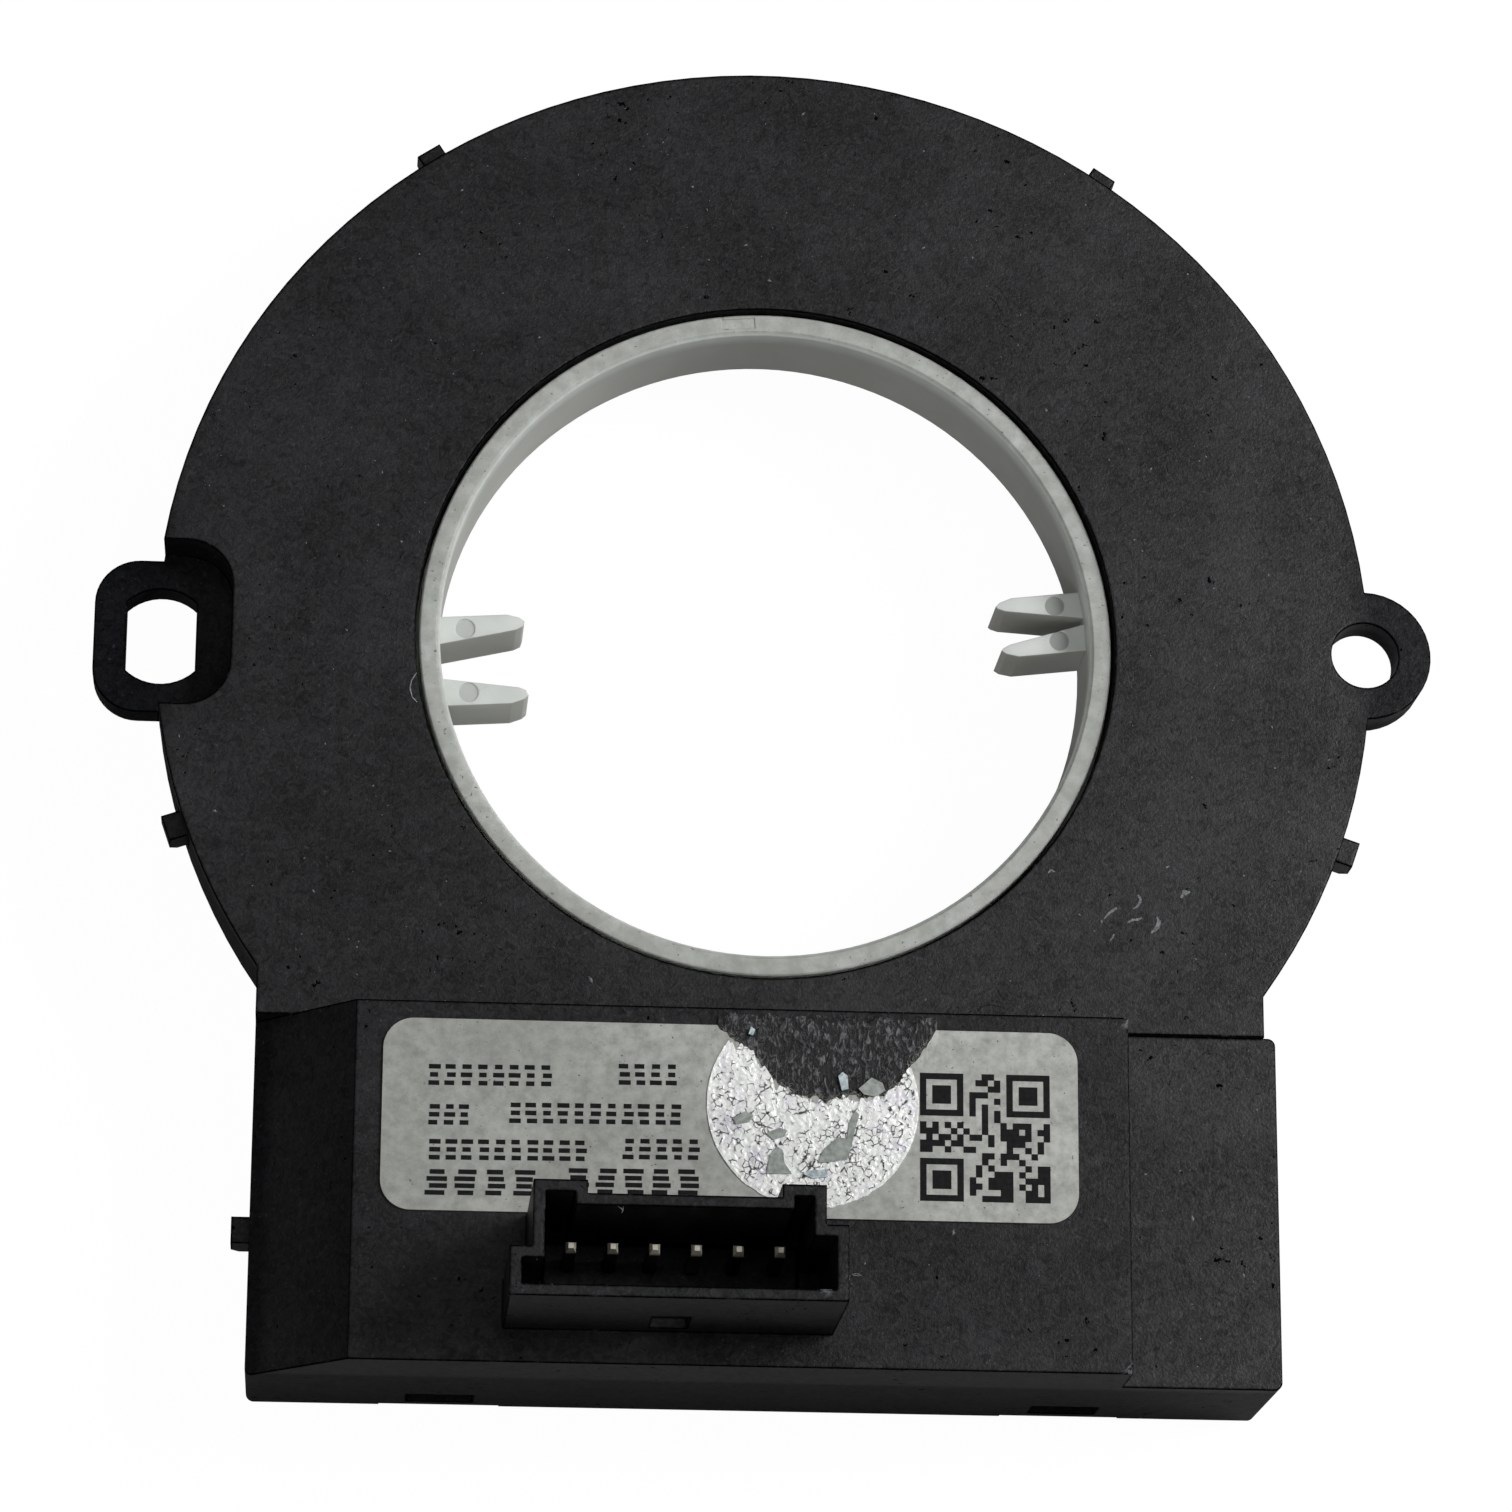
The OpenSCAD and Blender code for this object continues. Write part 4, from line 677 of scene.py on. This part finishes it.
dice = np.random.default_rng(51)
fx = dice.uniform(-2.6, 9.9, 900)
fy = dice.uniform(-31.3, -26.2, 900)
kept = fy > np.interp(fx, torn_x, torn_y) + 0.25
fx, fy = fx[kept], fy[kept]
felt_top = 11.29
felt_points, felt_faces = fibres(np.stack([fx, fy, np.full(len(fx), felt_top)], -1),
                                 dice.uniform(0, 2 * np.pi, len(fx)), dice.uniform(0.25, 0.75, len(fx)),
                                 0.016, dice.uniform(0.01, 0.09, len(fx)), 52)
strands("felt_fibres", felt_points, felt_faces, grained("dark_paper_felt", "#1c1d1f", "#626567", 0.25, 0.7))
edge_count = 620
ex = dice.uniform(-2.9, 9.9, edge_count)
ey = torn_line(ex, 0.5, 3) + dice.normal(0.02, 0.09, edge_count)
edge_points, edge_faces = fibres(np.stack([ex, ey, np.full(edge_count, label_top + 0.01)], -1),
                                 dice.uniform(0, 2 * np.pi, edge_count),
                                 dice.uniform(0.12, 0.42, edge_count), 0.013,
                                 dice.uniform(0.0, 0.05, edge_count), 53)
strands("torn_edge_fibres", edge_points, edge_faces,
        grained("torn_paper_fibre", "#77766f", "#a9aaa3", 0.2, 0.8))


def flakes(outlines, foot, thick):
    """Thin flat scraps from drawn outlines: an upper face, a lower face and a rim for each."""
    points, faces = [], []
    for outline in outlines:
        x, y = np.array(outline).T
        if np.sum(x * np.roll(y, -1) - y * np.roll(x, -1)) < 0:
            x, y = x[::-1], y[::-1]
        n, first = len(x), len(points)
        for z in (foot, foot + thick):
            points += list(zip(x, y, np.full(n, z)))
        faces += [[first + n + i for i in range(n)], [first + i for i in reversed(range(n))]]
        faces += [[first + i, first + (i + 1) % n, first + n + (i + 1) % n, first + n + i] for i in range(n)]
    return np.array(points) * mm, faces


scraps = [[(-2.34, -32.75), (-1.54, -32.26), (-1.04, -32.53), (-1.31, -32.96), (-2.11, -33.1)],
          [(-0.27, -33.64), (0.53, -33.27), (1.04, -33.42), (0.88, -33.8), (0.19, -34.05)],
          [(2.95, -35.44), (3.29, -34.61), (4.21, -33.77), (4.75, -33.87), (4.93, -32.81), (5.28, -32.09),
           (5.54, -32.33), (5.26, -33.27), (5.06, -34.33), (4.79, -35.16), (3.87, -35.34)],
          [(-0.21, -36.16), (-0.03, -35.04), (0.42, -34.44), (0.77, -34.67), (0.89, -35.48), (1.35, -36.17)],
          [(5.48, -30.68), (6.29, -29.95), (6.98, -30.29), (7.14, -30.76), (6.52, -31.17), (5.82, -31.03)]]
scrap_points, scrap_faces = flakes(scraps, 11.46, 0.04)
strands("paper_scraps", scrap_points, scrap_faces,
        grained("greyed_paper_scrap", "#868b86", "#a9aeaa", 0.35, 0.75), False)
curls = [[(4.21, -29.89), (4.48, -29.64), (4.79, -29.87), (4.85, -30.7), (4.44, -30.82), (4.32, -30.36)],
         [(-1.39, -27.35), (-1.23, -26.88), (-0.97, -27.06), (-1.11, -27.42)],
         [(2.03, -36.16), (2.38, -35.92), (3.53, -35.84), (3.57, -36.31), (2.61, -36.42)]]
curl_points, curl_faces = flakes(curls, 11.42, 0.09)
strands("foil_flakes", curl_points, curl_faces,
        grained("silvered_scrap", "#93a3a9", "#cfdadf", 0.2, 0.35), False)

# Marks of use
# Years in a steering column left pale knocks and a few dark scratches on the ring's face, dust, one hair
# of lint and frayed plastic on the socket's rim. All of them are very thin and dry.


def marks(centres, length, width, angle, thick):
    """Low lozenges lying on a face: each is a four-sided outline with a raised middle, closed below."""
    x, y, z = centres.T
    ends = np.array([[-1, 0], [0, -1], [1, 0], [0, 1]])
    u = ends[:, 0][None] * length[:, None] / 2
    v = ends[:, 1][None] * width[:, None] / 2
    px = x[:, None] + u * np.cos(angle)[:, None] - v * np.sin(angle)[:, None]
    py = y[:, None] + u * np.sin(angle)[:, None] + v * np.cos(angle)[:, None]
    foot = np.stack([px, py, np.repeat(z[:, None] - 0.004, 4, 1)], -1)
    peak = np.stack([x, y, z + thick], -1)[:, None]
    base = np.stack([x, y, z - 0.004], -1)[:, None]
    points = np.concatenate([foot, peak, base], 1).reshape(-1, 3)
    sides = np.array([[0, 1, 4], [1, 2, 4], [2, 3, 4], [3, 0, 4], [1, 0, 5], [2, 1, 5], [3, 2, 5], [0, 3, 5]])
    return points * mm, (sides[None] + 6 * np.arange(len(x))[:, None, None]).reshape(-1, 3).tolist()


def ribbon(path, width, roughly):
    """Outline of a stroke drawn along a path: tapered at both ends and a little uneven in its width."""
    x, y = np.array(path).T
    t = np.linspace(0, 1, 9)
    u = np.interp(t, np.linspace(0, 1, len(x)), x)
    v = np.interp(t, np.linspace(0, 1, len(y)), y)
    du, dv = np.gradient(u), np.gradient(v)
    reach = np.hypot(du, dv)
    half = width / 2 * (0.5 + 0.5 * np.sin(np.pi * t)) * (0.5 + roughly * lattice_noise(u, v, 0.09, 77))
    side_u, side_v = -dv / reach * half, du / reach * half
    return [*zip(u + side_u, v + side_v), *zip((u - side_u)[::-1], (v - side_v)[::-1])]


knocks = [([(21.61, -18.14), (21.93, -17.74), (22.13, -17.60), (22.45, -17.40)], 0.11),
          ([(23.81, -16.50), (24.00, -16.83), (23.80, -17.23), (23.48, -17.43)], 0.12),
          ([(23.08, -18.37), (23.40, -18.16), (23.66, -18.16), (24.05, -18.01)], 0.11),
          ([(25.01, -17.92), (25.14, -18.25), (25.00, -18.65), (24.61, -18.99)], 0.16),
          ([(26.58, -16.62), (26.78, -16.29), (27.17, -16.21)], 0.19),
          ([(21.97, -19.58), (22.17, -19.31), (22.24, -19.12)], 0.10),
          ([(18.05, -15.20), (18.24, -15.00), (18.50, -15.12)], 0.07),
          ([(25.64, -14.66), (25.84, -14.52)], 0.07)]
knock_points, knock_faces = flakes([ribbon(path, 1.3 * width, 1.4) for path, width in knocks],
                                   ring_face - 0.001, 0.012)
strands("pale_knocks", knock_points, knock_faces,
        grained("whitened_nylon_knock", "#4d5053", "#85888a", 0.12, 0.8), False)


def on_ring(count, rng):
    """Random places on the ring's face, clear of the bore, the ears and the outer edge."""
    angle = rng.uniform(0, 2 * np.pi, count)
    inner, outer = 23.4, 38.4
    radius = np.sqrt(rng.uniform(inner ** 2, outer ** 2, count))
    x, y = radius * np.cos(angle), radius * np.sin(angle)
    keep = (y > -25.0) & ~((np.abs(y) < 7) & (np.abs(x) > 33))
    return np.stack([x[keep], y[keep], np.full(keep.sum(), ring_face)], -1)


chance = np.random.default_rng(61)
ring_dust = on_ring(420, chance)
on_block, on_platform = 120, 40
block_dust = np.stack([chance.uniform(-25, 22, on_block), chance.uniform(-47.8, -25.9, on_block),
                       np.full(on_block, plateau)], -1)
clear = (block_dust[:, 1] < -39.2) & ((block_dust[:, 0] < -17) | (block_dust[:, 0] > 4.6))
platform_dust = np.stack([chance.uniform(22.9, 32, on_platform), chance.uniform(-47.6, -26, on_platform),
                          np.full(on_platform, low_platform)], -1)
dust_at = np.concatenate([ring_dust, block_dust[clear], platform_dust])
dust_size = chance.gamma(2.0, 0.035, len(dust_at)) + 0.03
dust_points, dust_faces = marks(dust_at, dust_size * chance.uniform(1, 2.6, len(dust_at)), dust_size,
                                chance.uniform(0, np.pi, len(dust_at)), 0.01)
pale = grained("pale_dust", "#5d6064", "#7b7e82", 0.1, 0.85)
strands("settled_dust", dust_points, dust_faces, pale)

scratch_from = np.array([[11.2, -25.0], [13.3, -24.7], [9.0, -21.9], [15.4, -23.8], [18.0, -20.7],
                         [2.6, 24.9], [6.2, 24.6], [11.5, 25.3], [14.3, 24.1], [-30.6, -19.2],
                         [-16.6, 28.8], [26.3, 12.0]])
scratch_turn = np.array([0.2, 1.1, -0.5, 2.4, 2.2, -0.3, 0.5, -0.7, -0.4, 1.9, 0.8, 2.0])
scratch_points, scratch_faces = fibres(np.c_[scratch_from, np.full(len(scratch_from), ring_face)],
                                       scratch_turn, chance.uniform(0.7, 2.0, len(scratch_from)), 0.035,
                                       np.zeros(len(scratch_from)), 62)
strands("dark_scratches", scratch_points, scratch_faces,
        grained("scratch_in_nylon", "#050506", "#0a0a0b", 0.1, 0.9))

hair = [(-22.45, -3.05), (-22.76, -3.53), (-22.86, -4.07), (-22.70, -4.67), (-22.38, -4.99)]
lint_points, lint_faces = flakes([ribbon(hair, 0.075, 1.0)], ring_face, 0.03)
burr_from = np.array([[3.75, -44.7, 21.2], [3.95, -44.3, 21.3], [4.05, -44.8, 21.1],
                      [-9.7, -41.1, 21.3], [-9.5, -40.9, 21.35], [-14.6, -44.0, 21.2]])
burr_turn = np.array([0.9, -0.6, 1.9, 1.2, 2.3, 2.0])
burr_length = np.array([0.9, 0.7, 0.6, 0.7, 0.5, 0.6])
burr_rise = np.array([0.1, 0.1, 0.15, 0.05, 0.05, 0.1])
burr_points, burr_faces = fibres(burr_from, burr_turn, burr_length, 0.035, burr_rise, 73)
strands("moulding_burrs", burr_points, burr_faces,
        grained("frayed_nylon_burr", "#55585b", "#8b8e91", 0.1, 0.7))
strands("lint_hair", lint_points, lint_faces, grained("grey_lint", "#8c8e90", "#a5a7a9", 0.1, 0.8))

# Table, light and camera
# A table of matt white laminate lies under the tray and runs far out, with one large soft window light
# from the upper right, three weak fills and a dim white room. The camera looks down at the front from
# 0.36 m away.
edge_m, clear_m = 3.0, 0.0001
low_z = packed_low.z - clear_m
span = np.linspace(-edge_m, edge_m, 2)
tx, ty = np.meshgrid(span, span, indexing="ij")
table = bpy.data.meshes.new("white_table")
table.from_pydata(np.stack([tx, ty, np.full_like(tx, low_z)], -1).reshape(-1, 3).tolist(), [], [[0, 2, 3, 1]])
table_top = bpy.data.objects.new("white_table", table)
bpy.context.scene.collection.objects.link(table_top)

white, white_tree, _, white_out = blank("white_laminate")
seen_by = add(white_tree, "LightPath")
matt = add(white_tree, "BsdfDiffuse", {"Color": colour("#9c9c9c")})
glow = add(white_tree, "Emission", {"Color": (1.0, 1.0, 1.0, 1.0), "Strength": 1.12})
share_glow = add(white_tree, "Math", {0: seen_by.outputs["Is Camera Ray"], 1: 0.87}, operation="MULTIPLY")
blend_white = add(white_tree, "MixShader", {0: share_glow.outputs[0], 1: matt.outputs[0], 2: glow.outputs[0]})
white_tree.links.new(blend_white.outputs[0], white_out.inputs["Surface"])
table.materials.append(white)

room = bpy.data.worlds.new("dim_room")
room.use_nodes = True
bpy.context.scene.world = room
room_tree = room.node_tree
room_tree.nodes.clear()
ray = add(room_tree, "LightPath")
walls = add(room_tree, "Background", {"Color": (1.0, 1.0, 1.0, 1.0), "Strength": 0.06})
shown = add(room_tree, "Background", {"Color": (1.0, 1.0, 1.0, 1.0), "Strength": 1.0})
pick = add(room_tree, "MixShader", {0: ray.outputs["Is Camera Ray"], 1: walls.outputs[0],
                                    2: shown.outputs[0]})
add(room_tree, "OutputWorld", {"Surface": pick.outputs[0]})


def soft_light(name, spot, aim, size, power):
    """A square area light at a place, turned to face a point."""
    lamp = bpy.data.lights.new(name, "AREA")
    lamp.shape = "SQUARE"
    lamp.size = size
    lamp.energy = power
    made = bpy.data.objects.new(name, lamp)
    bpy.context.scene.collection.objects.link(made)
    away = np.array(spot) - np.array(aim)
    away = away / np.linalg.norm(away)
    side = np.cross([0.0, 1.0, 0.0], away)
    side = side / np.linalg.norm(side)
    up = np.cross(away, side)
    made.matrix_world = Matrix([[side[i], up[i], away[i], spot[i]] for i in range(3)] + [[0, 0, 0, 1]])
    return made


soft_light("window_light", (0.45, 0.10, 0.42), (0.0, 0.0, 0.0), 0.3, 3.8)
soft_light("overhead_fill", (0.0, 0.2, 0.7), (0.0, 0.0, 0.0), 0.4, 0.22)
soft_light("front_fill", (-0.2, -0.5, 0.5), (0.0, 0.0, 0.0), 0.4, 0.9)
soft_light("left_fill", (-0.42, -0.1, 0.34), (0.02, 0.0, 0.0), 0.3, 0.25)

lens = bpy.data.cameras.new("front_camera")
lens.sensor_width = 36
focal_px, photo_px = 5569, 1512
lens.lens = focal_px / photo_px * lens.sensor_width
lens.clip_start, lens.clip_end = 0.01, 10
camera = bpy.data.objects.new("front_camera", lens)
bpy.context.scene.collection.objects.link(camera)
tilt = (Matrix.Rotation(math.radians(-1.605), 3, "Z") @ Matrix.Rotation(math.radians(4.237), 3, "Y")
        @ Matrix.Rotation(math.radians(-16.811), 3, "X"))
camera.matrix_world = Matrix.Translation((-0.02697, -0.1106, 0.34674)) @ tilt.transposed().to_4x4()
bpy.context.scene.camera = camera
bpy.context.scene.view_settings.view_transform = "Standard"
